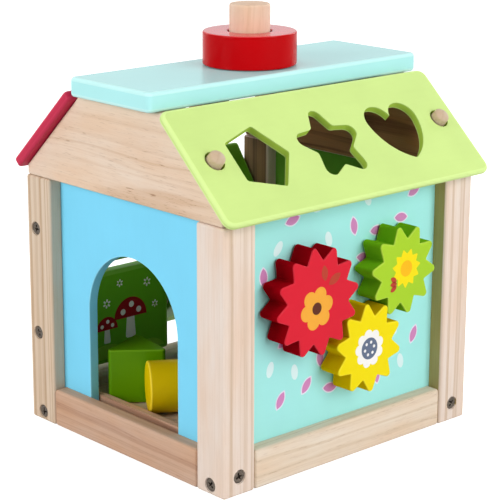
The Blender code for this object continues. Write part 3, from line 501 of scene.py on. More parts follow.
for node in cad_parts:
    if node.startswith("screw_"):
        low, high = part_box(node)
        axis = Vector((1, 0, 0)) if (high - low).x > (high - low).y else Vector((0, 1, 0))
        middle = (low + high) / 2
        outward = axis if middle.dot(axis) > HOUSE_Y * axis.y else -axis
        screw_spots.append((node, middle + outward * (high - low).dot(axis) / 2, outward))

for corner, (side_x, side_y, heart, tones, inside_shade_tones) in posts.items():
    low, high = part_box("post_" + corner)
    bm = rounded_board(low, high, POST_ROUND, 5)
    middle = (low + high) / 2
    near = [(head, way) for node, head, way in screw_spots
            if abs(head.x - middle.x) < POST and abs(head.y - middle.y) < POST]
    for outward in (Vector((side_x, 0, 0)), Vector((0, side_y, 0))):
        face = max(high.dot(outward), low.dot(outward))
        centres = [head + outward * (face - head.dot(outward)) for head, way in near if way.dot(outward) > ALIGNED]
        sink(bm, outward, [(circle_at(centre, outward, SCREW_HOLE), SCREW_SINK) for centre in centres])
    slot = rectangle(side_x * GABLE_X - SLOT_HALF, side_x * GABLE_X + SLOT_HALF, SLOT_FOOT, SLOT_TOP)
    groove = [(x, middle.y - side_y * POST / 2, z) for x, z in slot]
    sink(bm, (0, -side_y, 0), [(groove, [(SLOT_DEPTH, 1.0)])])
    finish = wood_finish("beech_post_" + corner, "Z", heart, YEAR_RING, *tones, flecks=0.25, sway=0.0035)
    inside_shade_finish = wood_finish("inside_shade_post_" + corner, "Z", heart, YEAR_RING, *inside_shade_tones, flecks=0.25, sway=0.0035)
    shade_inward_faces(bm, side_x)
    make_piece(corner + "_post", bm, "house", ["post_" + corner], [finish, inside_shade_finish])

# %% [markdown]
# ## Bottom rails
# Rails join the posts at the foot, and three of them hold a panel in a groove on top. The short ones are browner.

# %% Make the bottom rails
RAIL_ROUND = 1.8 * MM
RAIL_END = 2 * MM
FRONT_PANEL_Y = HOUSE_Y - 73.5 * MM
PALE_RAIL, BROWN_RAIL = ((228, 214, 197), (208, 184, 156)), ((204, 172, 150), (160, 118, 94))
for name, along, heart, tones in (
    ("rail_front", "X", (0.0, -0.150, 0.060), PALE_RAIL),
    ("rail_back", "X", (0.0, 0.160, -0.03), PALE_RAIL),
    ("rail_left", "Y", (-0.160, 0.0, -0.050), BROWN_RAIL),
    ("rail_right", "Y", (0.150, 0.0, 0.070), BROWN_RAIL),
):
    low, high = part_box(name)
    bm = rounded_board(low, high, RAIL_ROUND, 5)
    if along == "Y":
        middle = -GABLE_X if high.x < 0 else GABLE_X
        slot = (middle - SLOT_HALF, middle + SLOT_HALF, low.y + RAIL_END, high.y - RAIL_END)
    else:
        slot = (low.x + RAIL_END, high.x - RAIL_END, FRONT_PANEL_Y - SLOT_HALF, FRONT_PANEL_Y + SLOT_HALF)
    if name != "rail_back":
        groove = [(x, y, high.z) for x, y in rectangle(*slot)]
        sink(bm, (0, 0, 1), [(groove, [(SLOT_DEPTH, 1.0)])])
    finish = wood_finish("beech_" + name, along, heart, YEAR_RING, *tones, 0.6, 0.6, 0.010)
    make_piece(name + "_wood", bm, "house", [name], [finish])

# %% [markdown]
# ## Flat shapes with rounded corners
# Boards, holes, gears and blocks are flat outlines given a thickness. An outline starts as a few corner points, and
# an arc that touches both sides rounds each corner. A hole is cut last: both flats are opened round it, and loops
# of points, a little wider near the ends, are bridged into a wall with rounded rims.

# %% Helpers for outlines and plates
def arc(x, y, radius, start, turn, steps):
    """The points that one vertex leaves when it is spun round a centre."""
    bm = bmesh.new()
    vert = bm.verts.new((x + radius * cos(start), y + radius * sin(start), 0.0))
    ops.spin(bm, geom=[vert], cent=(x, y, 0.0), axis=(0.0, 0.0, 1.0), angle=turn, steps=steps)
    points = [(v.co.x, v.co.y) for v in bm.verts]
    bm.free()
    return points


def outline(corners, radii, steps=6):
    """The points of a polygon, anticlockwise, with each corner rounded to its own radius."""
    points = []
    for i, radius in enumerate(radii):
        here, last, following = Vector(corners[i]), Vector(corners[i - 1]), Vector(corners[(i + 1) % len(corners)])
        back, ahead = (last - here).normalized(), (following - here).normalized()
        half = back.angle(ahead) / 2
        centre = here + (back + ahead).normalized() * radius / sin(half)
        first = here + back * radius / tan(half) - centre
        turn = pi - 2 * half
        if back.cross(ahead) > 0:
            turn = -turn
        points += arc(centre.x, centre.y, radius, atan2(first.y, first.x), turn, steps)
    return points


def raised(bm, points, foot, height):
    """A prism on a flat outline. Both flats stay one face, so that a bevel can reach in."""
    face = bm.faces.new([bm.verts.new((x, y, foot)) for x, y in points])
    grown = ops.extrude_face_region(bm, geom=[face])["geom"]
    top = [item for item in grown if isinstance(item, bmesh.types.BMVert)]
    ops.translate(bm, verts=top, vec=(0.0, 0.0, height))
    return bm


def plate(rim, thickness):
    """A flat board from its rim, standing on Z = 0."""
    return raised(bmesh.new(), rim, 0.0, thickness)


def drawn_in(points, distance):
    """An outline moved in by an even distance, or out by a negative one, by an inset of its face."""
    bm = bmesh.new()
    face = bm.faces.new([bm.verts.new((x, y, 0.0)) for x, y in points])
    if distance:
        ops.inset_region(bm, faces=[face], thickness=distance, use_even_offset=True, use_boundary=True)
    inner = [(v.co.x, v.co.y) for v in face.verts]
    bm.free()
    return inner


def cut_through(bm, holes, thickness, radius, steps=3):
    """Cut shaped holes through a softened board on Z = 0, with rounded rims on both sides."""
    bm.faces.layers.float.new("flank")
    rim, flank = bm.faces.layers.float["rim"], bm.faces.layers.float["flank"]
    face_out(bm)
    levels = []
    for i in range(steps + 1):
        turn = pi / 2 * i / steps
        levels.append((radius * (1 - sin(turn)), radius * (1 - cos(turn))))
    stack = [(grow, thickness - deep) for grow, deep in levels] + levels[::-1]

    def level(hole, grow, z):
        return [(x, y, z) for x, y in drawn_in(hole, -grow)]

    upper = open_face(bm, (0, 0, 1), [level(hole, radius, thickness) for hole in holes])
    face_out(bm)
    lower = open_face(bm, (0, 0, -1), [level(hole, radius, 0.0) for hole in holes])
    for hole, first, last in zip(holes, upper, lower):
        loops = [first] + [joined(bm, level(hole, grow, z)) for grow, z in stack[1:-1]] + [last]
        for i in range(len(loops) - 1):
            made = ops.bridge_loops(bm, edges=loops[i] + loops[i + 1])
            for face in made["faces"]:
                # Rim marks take the painted highlight, and flank marks the painted shade of the hole wall.
                face[rim] = 0.0 if i == steps else 0.6
                face[flank] = 1.0 if i == steps else 0.4
    return bm


def regular(count, radius, start=0.0, inner=None):
    """The corners of a regular polygon, or of a star."""
    corners = []
    for i in range(count):
        turn = start + 2 * pi * i / count
        corners.append((radius * cos(turn), radius * sin(turn)))
        if inner:
            turn += pi / count
            corners.append((inner * cos(turn), inner * sin(turn)))
    return corners


def shifted(points, x, y, turn=0.0):
    """Outline points turned and moved."""
    c, s = cos(turn), sin(turn)
    return [(x + c * px - s * py, y + s * px + c * py) for px, py in points]


UPRIGHT_Y = Matrix.Rotation(pi / 2, 4, "X")
UPRIGHT_X = Matrix.Rotation(pi / 2, 4, "Z") @ Matrix.Rotation(pi / 2, 4, "X")

# %% [markdown]
# ## Gable boards
# Each end is closed by one thick board cut to the roof's pitch, with level grain and more brown flecks than the
# posts. Its inner face is painted darker and browner, as painted shade. Its front slope lies a little higher,
# as the board that rests there is thinner.

# %% Make the gable boards
HALF_BOARD = 83.5 * MM
BOARD_FOOT = 147 * MM
EAVES = 152.5 * MM
BOARD_TOP = 198.7 * MM
TOP_HALF = 33.957 * MM
BOARD_RING = 0.0065
board_corners = [
    (-HALF_BOARD, BOARD_FOOT), (HALF_BOARD, BOARD_FOOT), (HALF_BOARD, EAVES), (TOP_HALF, BOARD_TOP),
    (-TOP_HALF - 2.2 * MM, BOARD_TOP), (-HALF_BOARD, EAVES + 2.05 * MM),
]
for name, side, heart in (
    ("gable_board_left", -1, (-0.135, 0.0, 0.1345)), ("gable_board_right", 1, (0.135, 0.0, 0.240))
):
    bm = soften(plate(board_corners, POST), 1.2 * MM, turn=30.0)
    move(bm, at(side * GABLE_X - POST / 2, HOUSE_Y, 0.0) @ UPRIGHT_X)
    face_out(bm)
    shade_inward_faces(bm, side)
    finish = wood_finish("beech_" + name, "Y", heart, BOARD_RING, (227, 208, 190), (200, 164, 132), 0.55, 0.9)
    # Its inward face takes a darker brown: painted shade.
    inside_shade_finish = wood_finish("inside_shade_" + name, "Y", heart, BOARD_RING, (176, 132, 92), (120, 78, 48), flecks=0.8)
    make_piece(name + "_wood", bm, "house", [name], [finish, inside_shade_finish])

# %% [markdown]
# ## Panels and floor
# The walls are thin painted boards let into the grooves. The doorway is cut through to the rail: half a circle on
# two straight sides. The floor board keeps its measured mesh, because only its flat top shows.

# %% Make the panels
sky_blue = paint_finish("sky_blue_paint", (128, 216, 248), (160, 228, 250), "Z", 0.42)
mint = paint_finish("mint_paint", (163, 230, 226), (190, 238, 232), "X", 0.42)
leaf_wall = paint_finish("leaf_wall_paint", (120, 190, 60), (160, 214, 110), "Z", 0.42)
PANEL = 6 * MM
PANEL_HALF = 67.7 * MM
FOOT, TOP = 17.3 * MM, 151.7 * MM
DOOR = 38.5 * MM
SPRING = 74.0 * MM
ARCH_STEPS = 48
angles = [pi * i / ARCH_STEPS for i in range(ARCH_STEPS, -1, -1)]
door_rim = [(-PANEL_HALF, FOOT), (-DOOR, FOOT)]
door_rim += [(DOOR * cos(angle), SPRING + DOOR * sin(angle)) for angle in angles]
door_rim += [(DOOR, FOOT), (PANEL_HALF, FOOT), (PANEL_HALF, TOP), (-PANEL_HALF, TOP)]
bm = soften(plate(door_rim, PANEL), 0.6 * MM, 3)
move(bm, at(-GABLE_X - PANEL / 2, HOUSE_Y, 0.0) @ UPRIGHT_X)
make_piece("doorway_panel", bm, "house", ["panel_doorway"], [sky_blue])
for name, node, slot, paint in (
    ("gear_panel", "panel_gears", "mint", mint), ("right_panel", "panel_right", "leaf", leaf_wall)
):
    make_piece(name, rounded_board(*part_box(node), 0.5 * MM, 2), "house", [node], [paint])
dress("floor_board", wood_finish("beech_floor", "X", (0.0, 0.2, -0.3)))

# %% [markdown]
# ## The ridge board
# One flat board lies along the top. Its rims are well rounded, and the satin coat on it mirrors the ring softly.

# %% Make the ridge board
RIDGE_HALF = 101.5 * MM
RIDGE_CORNER, RIDGE_ROUND = 3.4 * MM, 2.1 * MM
pale_blue = paint_finish("pale_blue_paint", (172, 232, 232), (206, 244, 240), "X", 0.26, 0.98, 0.25)
ridge_rim = outline(rectangle(-RIDGE_HALF, RIDGE_HALF, -TOP_HALF, TOP_HALF), [RIDGE_CORNER] * 4, 8)
bm = soften(plate(ridge_rim, 11 * MM), RIDGE_ROUND, 5)
move(bm, at(0.0, HOUSE_Y, 199.0 * MM))
make_piece("ridge", bm, "house", ["ridge_board"], [pale_blue])

# %% [markdown]
# ## The six shapes of the roof
# The front board has a pentagon, a star and a heart, the back board a triangle, a circle and a square. The heart is
# built from arcs that run into one another without a kink: two lobes, two bowed flanks and a blunt tip.

# %% Draw the six shapes
PENTAGON = outline(regular(5, 21 * MM), [1.8 * MM] * 5)
STAR = outline(regular(5, 29.5 * MM, pi / 2, 13.85 * MM), [4.6 * MM, 2.5 * MM] * 5)
TRIANGLE = outline(regular(3, 20.9 * MM, pi / 2), [2.2 * MM] * 3)
CIRCLE = regular(64, 16.2 * MM)
SQUARE = outline(regular(4, 22.91 * MM, pi / 4), [2.2 * MM] * 4)


def heart_outline(lobe, apart, deep, tip, flank):
    """Two round lobes, bowed flanks and a rounded tip towards -Y."""
    rise = (deep - lobe) / 2
    top, low = Vector((apart, rise)), Vector((0.0, rise - deep + tip))
    reach = (top - low).length
    way = (top - low).normalized()
    along = ((flank - tip) ** 2 - (flank - lobe) ** 2 + reach ** 2) / (2 * reach)
    middle = low + way * along + Vector((-way.y, way.x)) * sqrt((flank - tip) ** 2 - along ** 2)
    low_turn = atan2(low.y - middle.y, low.x - middle.x)
    top_turn = atan2(top.y - middle.y, top.x - middle.x)
    right = arc(middle.x, middle.y, flank, low_turn, top_turn - low_turn, 10)
    right += arc(top.x, top.y, lobe, top_turn, pi - acos(apart / lobe) - top_turn, 16)[1:]
    left = [(-x, y) for x, y in reversed(right[:-1])]
    return right + left + arc(low.x, low.y, tip, pi - low_turn - 2 * pi, 2 * low_turn + pi, 6)[1:-1]


HEART = heart_outline(10.0 * MM, 9.75 * MM, 27.3 * MM, 2.6 * MM, 33.0 * MM)
print("shapes:", len(PENTAGON), len(STAR), len(HEART), len(TRIANGLE), len(CIRCLE), len(SQUARE))

# %% [markdown]
# ## The roof boards
# The front board lifts off two pegs, and the back board is fixed. Both are drawn flat, rounded all round, pierced,
# and only then leaned onto the slope by one matrix, which the pegs use too.

# %% Lean the boards on the roof
PITCH = radians(43.0)
SLOPE = 168.478 * MM
BOARD_HALF = 100 * MM
BOARD_ROUND, HOLE_ROUND = 1.8 * MM, 0.6 * MM
LID_PEGS = {"lid_peg_left": -84.5 * MM, "lid_peg_right": 86.3 * MM}
LID_ROW, PEG_ROW, BACK_ROW = -1.071 * MM, 1.929 * MM, 1.071 * MM


def slope_place(side, along, lift, x=0.0):
    """The place on a slope: front -1 or back 1, at a distance up it, lifted off it."""
    out = Vector((0.0, side * sin(PITCH), cos(PITCH)))
    up = Vector((0.0, -side * cos(PITCH), sin(PITCH)))
    spot = Vector((x, HOUSE_Y, 0.0)) + out * (SLOPE + lift) + up * along
    return Matrix.Translation(spot) @ Matrix.Rotation(-side * PITCH, 4, "X")


def roof_board(half_width, corner, steps, thickness, holes, place):
    """A flat board with rounded corners and rims, pierced and leaned on its slope."""
    rim = outline(rectangle(-BOARD_HALF, BOARD_HALF, -half_width, half_width), [corner] * 4, steps)
    bm = soften(plate(rim, thickness), BOARD_ROUND, 5)
    return move(cut_through(bm, holes, thickness, HOLE_ROUND), place)


# The hole walls take darker flank colours as painted shade, and the rims lighter ones as a painted highlight.
lime = paint_finish("lime_paint", (202, 228, 138), (218, 242, 160), "X", 0.38, 0.93, 0.10, (174, 206, 78))
crimson = paint_finish("crimson_paint", (192, 42, 74), (200, 60, 88), "X", 0.36, 0.95, 0.08, (150, 20, 44))
lid_holes = [shifted(shape, x * MM, LID_ROW) for shape, x in ((PENTAGON, -55), (STAR, -2), (HEART, 51))]
lid_holes += [shifted(regular(40, 5.9 * MM), x, PEG_ROW) for x in LID_PEGS.values()]
bm = roof_board(37.371 * MM, 5.5 * MM, 8, 4.5 * MM, lid_holes, slope_place(-1, 70.608 * MM, 1.8 * MM))
make_piece("front_roof_board", bm, "lid", ["roof_lid"], [lime])
back_holes = [shifted(shape, x * MM, BACK_ROW) for shape, x in ((TRIANGLE, -53), (CIRCLE, 0), (SQUARE, 53))]
bm = roof_board(34.271 * MM, 3 * MM, 6, 6 * MM, back_holes, slope_place(1, 73.708 * MM, 0.3 * MM))
make_piece("back_roof_board", bm, "house", ["roof_back"], [crimson])

# %% [markdown]
# ## Turned pieces
# Pegs, chimney and ring are turned on a lathe. A spin does in Blender what the lathe does in wood: half a section,
# drawn once, goes round the axis.

# %% Make the lid pegs
PEG_RADIUS, PEG_SHOULDER, PEG_DOME = 4.6 * MM, 9.0 * MM, 2.2 * MM


def turned(section, steps=64):
    """Spin an open section of (radius, height) points from axis to axis, or a closed ring."""
    bm = bmesh.new()
    verts = [bm.verts.new((r, 0.0, z)) for r, z in section]
    edges = [bm.edges.new(pair) for pair in zip(verts, verts[1:])]
    if section[0][0] > 0:
        edges.append(bm.edges.new((verts[-1], verts[0])))
    geom = verts + edges
    ops.spin(bm, geom=geom, cent=(0, 0, 0), axis=(0, 0, 1), angle=2 * pi, steps=steps, use_merge=True)
    ops.remove_doubles(bm, verts=bm.verts, dist=MERGE)
    face_out(bm)
    return bm


angles = [pi / 2 * i / 8 for i in range(8)]
dome = [(PEG_RADIUS * cos(angle), PEG_SHOULDER + PEG_DOME * sin(angle)) for angle in angles]
peg_section = [(0.0, -12 * MM), (5 * MM, -12 * MM), (5 * MM, 0.2 * MM)] + dome + [(0.0, PEG_SHOULDER + PEG_DOME)]
for name, x in LID_PEGS.items():
    bm = move(turned(peg_section, 40), slope_place(-1, 72.537 * MM, 0.0, x))
    heart = (x + 0.006, -0.10, 0.150)
    finish = wood_finish("beech_" + name, "Y", heart, 0.004, (196, 177, 154), (176, 148, 120), 0.3)
    make_piece(name + "_wood", bm, "house", [name], [finish])

# %% [markdown]
# ## The chimney
# The chimney is a thick peg with a tenon through the ridge board, and a loose ring lies round it. The ring's glossy
# top mirrors the white room and so turns pink at a flat angle. Its side is painted a deeper red, as painted shade,
# and it does not mirror the room.

# %% Make the chimney peg and its ring
RIDGE_TOP = 210 * MM
CHIMNEY_RADIUS, CHIMNEY_TOP, TENON = 11.5 * MM, 34.3 * MM, 7 * MM
RING_BORE, RING_RADIUS, RING_HEIGHT = 12.5 * MM, 26.6 * MM, 18.8 * MM
LYING_GAP = 0.3 * MM
section = [(0.0, -11 * MM), (TENON, -11 * MM), (TENON, LYING_GAP), (CHIMNEY_RADIUS, LYING_GAP)]
bm = turned(section + [(CHIMNEY_RADIUS, CHIMNEY_TOP), (0.0, CHIMNEY_TOP)])
soften(bm, 1.2 * MM, only=lambda e: all(v.co.z > 34 * MM for v in e.verts))
move(bm, at(0.0, HOUSE_Y, RIDGE_TOP))
finish = wood_finish("beech_chimney", "Z", (0.015, -0.002, 0.0), 0.006, (224, 200, 180), (198, 164, 136), 0.4)
make_piece("chimney_wood", bm, "house", ["chimney_peg"], [finish])
red_ring = paint_finish("red_ring_paint", (214, 18, 44), (206, 16, 28), "Z", 0.14, 0.98, 0.40, (180, 0, 0))
bm = turned([(RING_BORE, 0.0), (RING_RADIUS, 0.0), (RING_RADIUS, RING_HEIGHT), (RING_BORE, RING_HEIGHT)], 96)
mark_flanks(bm, 0.9)
soften(bm, 1.0 * MM)
move(bm, at(0.0, HOUSE_Y, RIDGE_TOP + LYING_GAP))
make_piece("ring", bm, "ring", ["chimney_ring"], [red_ring])

# %% [markdown]
# ## Printed pictures
# The gears, the mint wall and the tiles carry flat prints. Each is a few flat shapes in a few inks, so it can be cut
# from outlines instead of laid on as an image. An ink is a thin flake, proud by some hundredths of a millimetre like
# thick screen ink, and it moves with the piece that carries it.

# %% Helpers for prints
INK = 0.05 * MM
INK_ROOT = 0.4 * INK


def leaf(length, width):
    """A pointed leaf along X: two equal arcs back to back."""
    radius = (length ** 2 + width ** 2) / (4 * width)
    reach = asin(length / 2 / radius)
    side = arc(0.0, width / 2 - radius, radius, pi / 2 - reach, 2 * reach, 8)
    return side[:-1] + [(-x, -y) for x, y in side[:-1]]


def scallops(count, reach, lobe, start=0.0):
    """Round lobes in a ring, each of them running into the next."""
    step = pi / count
    valley = reach * cos(step) + sqrt(lobe ** 2 - (reach * sin(step)) ** 2)
    half = atan2(valley * sin(step), valley * cos(step) - reach)
    points = []
    for i in range(count):
        turn = start + 2 * step * i
        points += arc(reach * cos(turn), reach * sin(turn), lobe, turn - half, 2 * half, 10)[:-1]
    return points


def oval(length, width, count=20):
    """A flat ellipse along X."""
    return [(x * length, y * width) for x, y in regular(count, 0.5)]


def printed(name, shapes, place, body, ink):
    """One ink of a print, from outlines and the layer that each of them lies in."""
    bm = bmesh.new()
    for points, layer in shapes:
        raised(bm, points, -INK_ROOT, INK_ROOT + layer * INK)
    make_piece(name, move(bm, place), body, [], [inks[ink]])


inks = {name: paint_finish("ink_" + name, colour, colour, "Z", 0.48, 0.93) for name, colour in (
    ("white", (243, 240, 236)), ("frost", (216, 240, 240)), ("mist", (230, 226, 240)), ("pink", (205, 134, 186)),
    ("amber", (240, 168, 60)), ("rust", (184, 66, 48)), ("brown", (92, 44, 28)), ("slate", (98, 110, 134)),
    ("sun", (244, 222, 20)), ("orange", (246, 186, 26)), ("hill", (140, 196, 60)), ("cap", (158, 24, 30)),
)}

# %% [markdown]
# ## Petals on the wall
# Pink petals with a pale rim and a few frosted drops blow over the mint wall. A random scatter would change with
# each draw. Steps of two fixed fractions, wrapped round, spread them as evenly and always in the same way.

# %% Scatter petals on the mint wall
PETALS = 38
low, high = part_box("panel_gears")
wall = at(0.0, low.y, 0.0) @ UPRIGHT_Y
pink, rims, drops = [], [], []
for i in range(PETALS):
    place = ((-67 + 132 * ((0.30 + i * 0.7549) % 1.0)) * MM, (28 + 118 * ((0.15 + i * 0.5698) % 1.0)) * MM)
    turn = 0.9 + 1.1 * sin(2.4 * i)
    if i % 5 in (2, 4):
        drops.append((shifted(oval(9.0 * MM, 5.0 * MM), *place, turn), 1))
    else:
        rims.append((shifted(leaf(12.0 * MM, 6.3 * MM), *place, turn), 1))
        pink.append((shifted(leaf(10.0 * MM, 4.9 * MM), *place, turn), 2))
printed("wall_petals_pink", pink, wall, "house", "pink")
printed("wall_petals_rim", rims, wall, "house", "mist")
printed("wall_petals_pale", drops, wall, "house", "frost")

# %% [markdown]
# ## The gears
# The three gears have soft, sun-like teeth. A tooth is two corners of a star-shaped outline, and rounding those
# gives tip and root their curves. A blind bore at the back takes the axle, which keeps its measured mesh.

# %% Make the gears
MODULE = 4.75 * MM
ADDENDUM, DEDENDUM = 1.75 * MM, 5.3 * MM
TIP_ROUND, ROOT_ROUND = 2.2 * MM, 0.7 * MM
GEAR = 14 * MM
GEAR_BACK = HOUSE_Y - 77.5 * MM
BORE, BORE_DEPTH = 4.3 * MM, 10.3 * MM


def gear_points(teeth, phase):
    """The rounded outline of a gear, its first tooth at the phase."""
    pitch_radius = MODULE * teeth / 2
    half = pi / teeth
    tip_middle = pitch_radius + ADDENDUM - TIP_ROUND
    root_middle = pitch_radius - DEDENDUM + ROOT_ROUND
    across = Vector((root_middle * cos(half) - tip_middle, root_middle * sin(half)))
    facing = atan2(across.y, across.x) + asin((TIP_ROUND + ROOT_ROUND) / across.length) - pi / 2
    tip = tip_middle + TIP_ROUND / cos(facing)
    root = root_middle - ROOT_ROUND / cos(facing - half)
    return outline(regular(teeth, tip, phase, root), [TIP_ROUND, ROOT_ROUND] * teeth, 7)


# Teeth, phase, x, z, slot, face colour, rim colour (painted highlight), shine, flank colour (painted shade).
gears = {
    "red": (12, 97.0, -33.5 * MM, 97.4 * MM, "red", (216, 30, 50), (214, 44, 60), 0.08, (160, 4, 18)),
    "yellow": (10, 94.8, 5.993 * MM, 63.190 * MM, "yellow", (240, 218, 8), (246, 226, 50), 0.06, (226, 184, 2)),
    "green": (10, 100.6, 32.692 * MM, 102.476 * MM, "leaf", (166, 206, 46), (190, 222, 80), 0.06, (118, 178, 22)),
}
gear_fronts = {}
for colour, (teeth, phase, x, z, slot, face_tone, rim_highlight_tone, shine, flank_shade_tone) in gears.items():
    bm = plate(gear_points(teeth, radians(phase)), GEAR)
    mark_flanks(bm)
    soften(bm, 0.9 * MM)
    # Flanks take painted shade. The rounded rims take the painted highlight and so drop the flank mark.
    flank, rim = bm.faces.layers.float["flank"], bm.faces.layers.float["rim"]
    for face in bm.faces:
        if face[rim] > 0.5:
            face[flank] = 0.0
    sink(bm, (0, 0, -1), [(circle_at((0, 0, 0), (0, 0, 1), BORE, 32), [(BORE_DEPTH, 1.0)])])
    place = at(x, GEAR_BACK, z) @ UPRIGHT_Y
    gear_fronts[colour] = place @ at(0.0, 0.0, GEAR)
    paint = paint_finish(colour + "_gear_paint", face_tone, rim_highlight_tone, "X", 0.2, 0.95, shine, flank_shade_tone)
    make_piece(colour + "_gear", move(bm, place), "gear_" + colour, ["gear_" + colour], [paint])
    dress("axle_" + colour, wood_finish("beech_axle_" + colour, "Y", (x + 0.01, 0.0, z), ring=0.002))

# %% [markdown]
# ## Prints on the gears
# Each gear has one plain motif in two or three inks: a blossom with two leaves, a white rosette round a slate eye,
# and a sun with a fan of petals. An ink that lies on another is one layer higher.

# %% Print flowers and a sun on the gears
blossom = scallops(6, 7.4 * MM, 4.5 * MM, 0.2)
rosette = scallops(9, 7.9 * MM, 3.1 * MM, 0.3)
sun = outline(regular(11, 11.6 * MM, 0.1, 8.4 * MM), [0.6 * MM, 0.4 * MM] * 11)
dots = [(shifted(regular(12, 0.9 * MM), x, y), 3) for x, y in regular(6, 3.6 * MM, 0.2)]
leaves = [(shifted(leaf(10 * MM, 5 * MM), 11.5 * MM, 11.0 * MM, 0.5), 1),
          (shifted(leaf(9 * MM, 4.6 * MM), 4 * MM, 15.5 * MM, 1.7), 1)]
fan = [(shifted(leaf(5.4 * MM, 3 * MM), -8.5 * MM, -9 * MM + i * 2.6 * MM, 0.5 * (1 - i)), 2) for i in range(3)]
for colour, motif, ink, shapes in (
    ("red", "blossom", "amber", [(shifted(blossom, -1.5 * MM, -3 * MM), 1)]),
    ("red", "leaves", "rust", leaves),
    ("red", "heart_wood", "brown", [(shifted(regular(24, 3.4 * MM), -1.5 * MM, -3 * MM), 2)]),
    ("yellow", "rosette", "white", [(rosette, 1)] + dots),
    ("yellow", "eye", "slate", [(regular(36, 6.2 * MM), 2)]),
    ("green", "sun", "sun", [(shifted(sun, 1.5 * MM, 1 * MM), 1)]),
    ("green", "sun_middle", "orange", [(shifted(regular(30, 4.6 * MM), 1.5 * MM, 1 * MM), 2)]),
    ("green", "petals", "rust", fan),
):
    printed(colour + "_gear_" + motif, shapes, gear_fronts[colour], "gear_" + colour, ink)

# %% [markdown]
# ## Picture tiles and rods
# Four thick tiles turn on two rods at the back. Each is a board with well rounded edges, and its bore is opened in
# both end faces and bridged.

# %% Make the tiles and the rods
TILE = Vector((36.0, 5.0, 28.5)) * MM
TILE_ROUND, TILE_BORE = 2.3 * MM, 3.3 * MM
TILE_X = 36.5 * MM
ROD_Y = HOUSE_Y + 77.0 * MM
ROD, ROD_LENGTH = 3 * MM, 145.4 * MM
rods = {"lower": 53.25 * MM, "upper": 115.75 * MM}
tile_paint = paint_finish("tile_green_paint", (104, 178, 34), (140, 200, 84), "X", 0.40)
tiles = {}
for name, row, side, tilt in (
    ("lower_left", "lower", -1, 0.0), ("lower_right", "lower", 1, 50.0),
    ("upper_left", "upper", -1, 0.0), ("upper_right", "upper", 1, -35.0),
):
    bm = rounded_board(-TILE, TILE, TILE_ROUND, 5)
    ends = []
    for end in (-1, 1):
        loop = [Vector((end * TILE.x, y, z)) for y, z in regular(32, TILE_BORE)]
        ends += open_face(bm, (end, 0, 0), [loop])[0]
        face_out(bm)
    ops.bridge_loops(bm, edges=ends)
    tiles[name] = at(side * TILE_X, ROD_Y, rods[row]) @ Matrix.Rotation(radians(tilt), 4, "X")
    make_piece(name + "_tile", move(bm, tiles[name]), "tile_" + name, ["tile_" + name], [tile_paint])
for row, z in rods.items():
    bm = bmesh.new()
    ops.create_cone(bm, cap_ends=True, segments=40, radius1=ROD, radius2=ROD, depth=ROD_LENGTH)
    soften(bm, 0.4 * MM, 2)
    move(bm, at(0.0, ROD_Y, z) @ Matrix.Rotation(pi / 2, 4, "Y"))
    finish = wood_finish("beech_rod_" + row, "X", (0.0, ROD_Y + 0.005, z), ring=0.002)
    make_piece("rod_" + row + "_wood", bm, "house", ["rod_" + row], [finish])

# %% [markdown]
# ## Prints on the tiles
# Both faces of a tile show a little meadow: two hills, two toadstools and a few daisies. All the parts in one ink
# are joined into one flake for each face.

# %% Print a meadow on both sides of the tiles
def daisy(x, y, size):
    """Six small petals round a gap."""
    petal = oval(size * 0.8 * MM, size * 0.5 * MM, 10)
    return [(shifted(petal, (x + px) * MM, (y + py) * MM, atan2(py, px)), 1)
            for px, py in regular(6, size * 0.75, 0.4)]


def toadstool(x, y, size):
    """A stem with spots, and the cap between them, standing on y."""
    x, y, s = x * MM, y * MM, size * MM
    corners = [(-0.30 * s, 0.0), (0.30 * s, 0.0), (0.22 * s, 1.1 * s), (-0.22 * s, 1.1 * s)]
    stem = outline(corners, [0.12 * s, 0.12 * s, 0.05 * s, 0.05 * s])
    cap = arc(0.0, 1.0 * s, 0.95 * s, 0.0, pi, 20)
    spot = regular(14, 0.15 * s)
    spots = [(shifted(spot, x + a * s, y + b * s), 3) for a, b in ((-0.45, 1.3), (0.05, 1.6), (0.48, 1.28))]
    return [(shifted(stem, x, y), 1)] + spots, [(shifted(cap, x, y), 2)]


def hill(left, right, foot, height):
    """A round hill between two ends."""
    half = (right - left) / 2
    radius = (half ** 2 + height ** 2) / (2 * height)
    reach = asin(half / radius)
    crest = arc(0.0, (height - radius) * MM, radius * MM, pi / 2 - reach, 2 * reach, 24)
    return [(shifted(crest, (left + half) * MM, foot * MM), 1)]


big_white, big_cap = toadstool(6.0, -15.5, 13.0)
small_white, small_cap = toadstool(-12.0, -15.8, 8.5)
daisies = [daisy(*spot) for spot in ((-25, 14, 2.6), (-12, 9, 2.6), (19, 17, 2.6), (25, 2, 2.2), (-2, 20, 2.2))]
meadow = {
    "hill": hill(-32.5, 7.0, -25.5, 9.0) + hill(8.5, 32.5, -25.5, 6.0),
    "white": big_white + small_white + sum(daisies, []),
    "cap": big_cap + small_cap,
}
for name, stand in tiles.items():
    for view, about in (("in", 0.0), ("out", pi)):
        place = stand @ Matrix.Rotation(about, 4, "Z") @ UPRIGHT_Y @ at(0.0, 0.0, TILE.y)
        for ink, shapes in meadow.items():
            printed(name + "_tile_" + view + "_" + ink, shapes, place, "tile_" + name, ink)

# %% [markdown]
# ## The loose blocks
# Every hole has its block, 1.2 mm smaller all round, so a scaled copy of the same outline would be wrong: it has to
# be drawn in by an even distance. An inset on the flat face does exactly that.

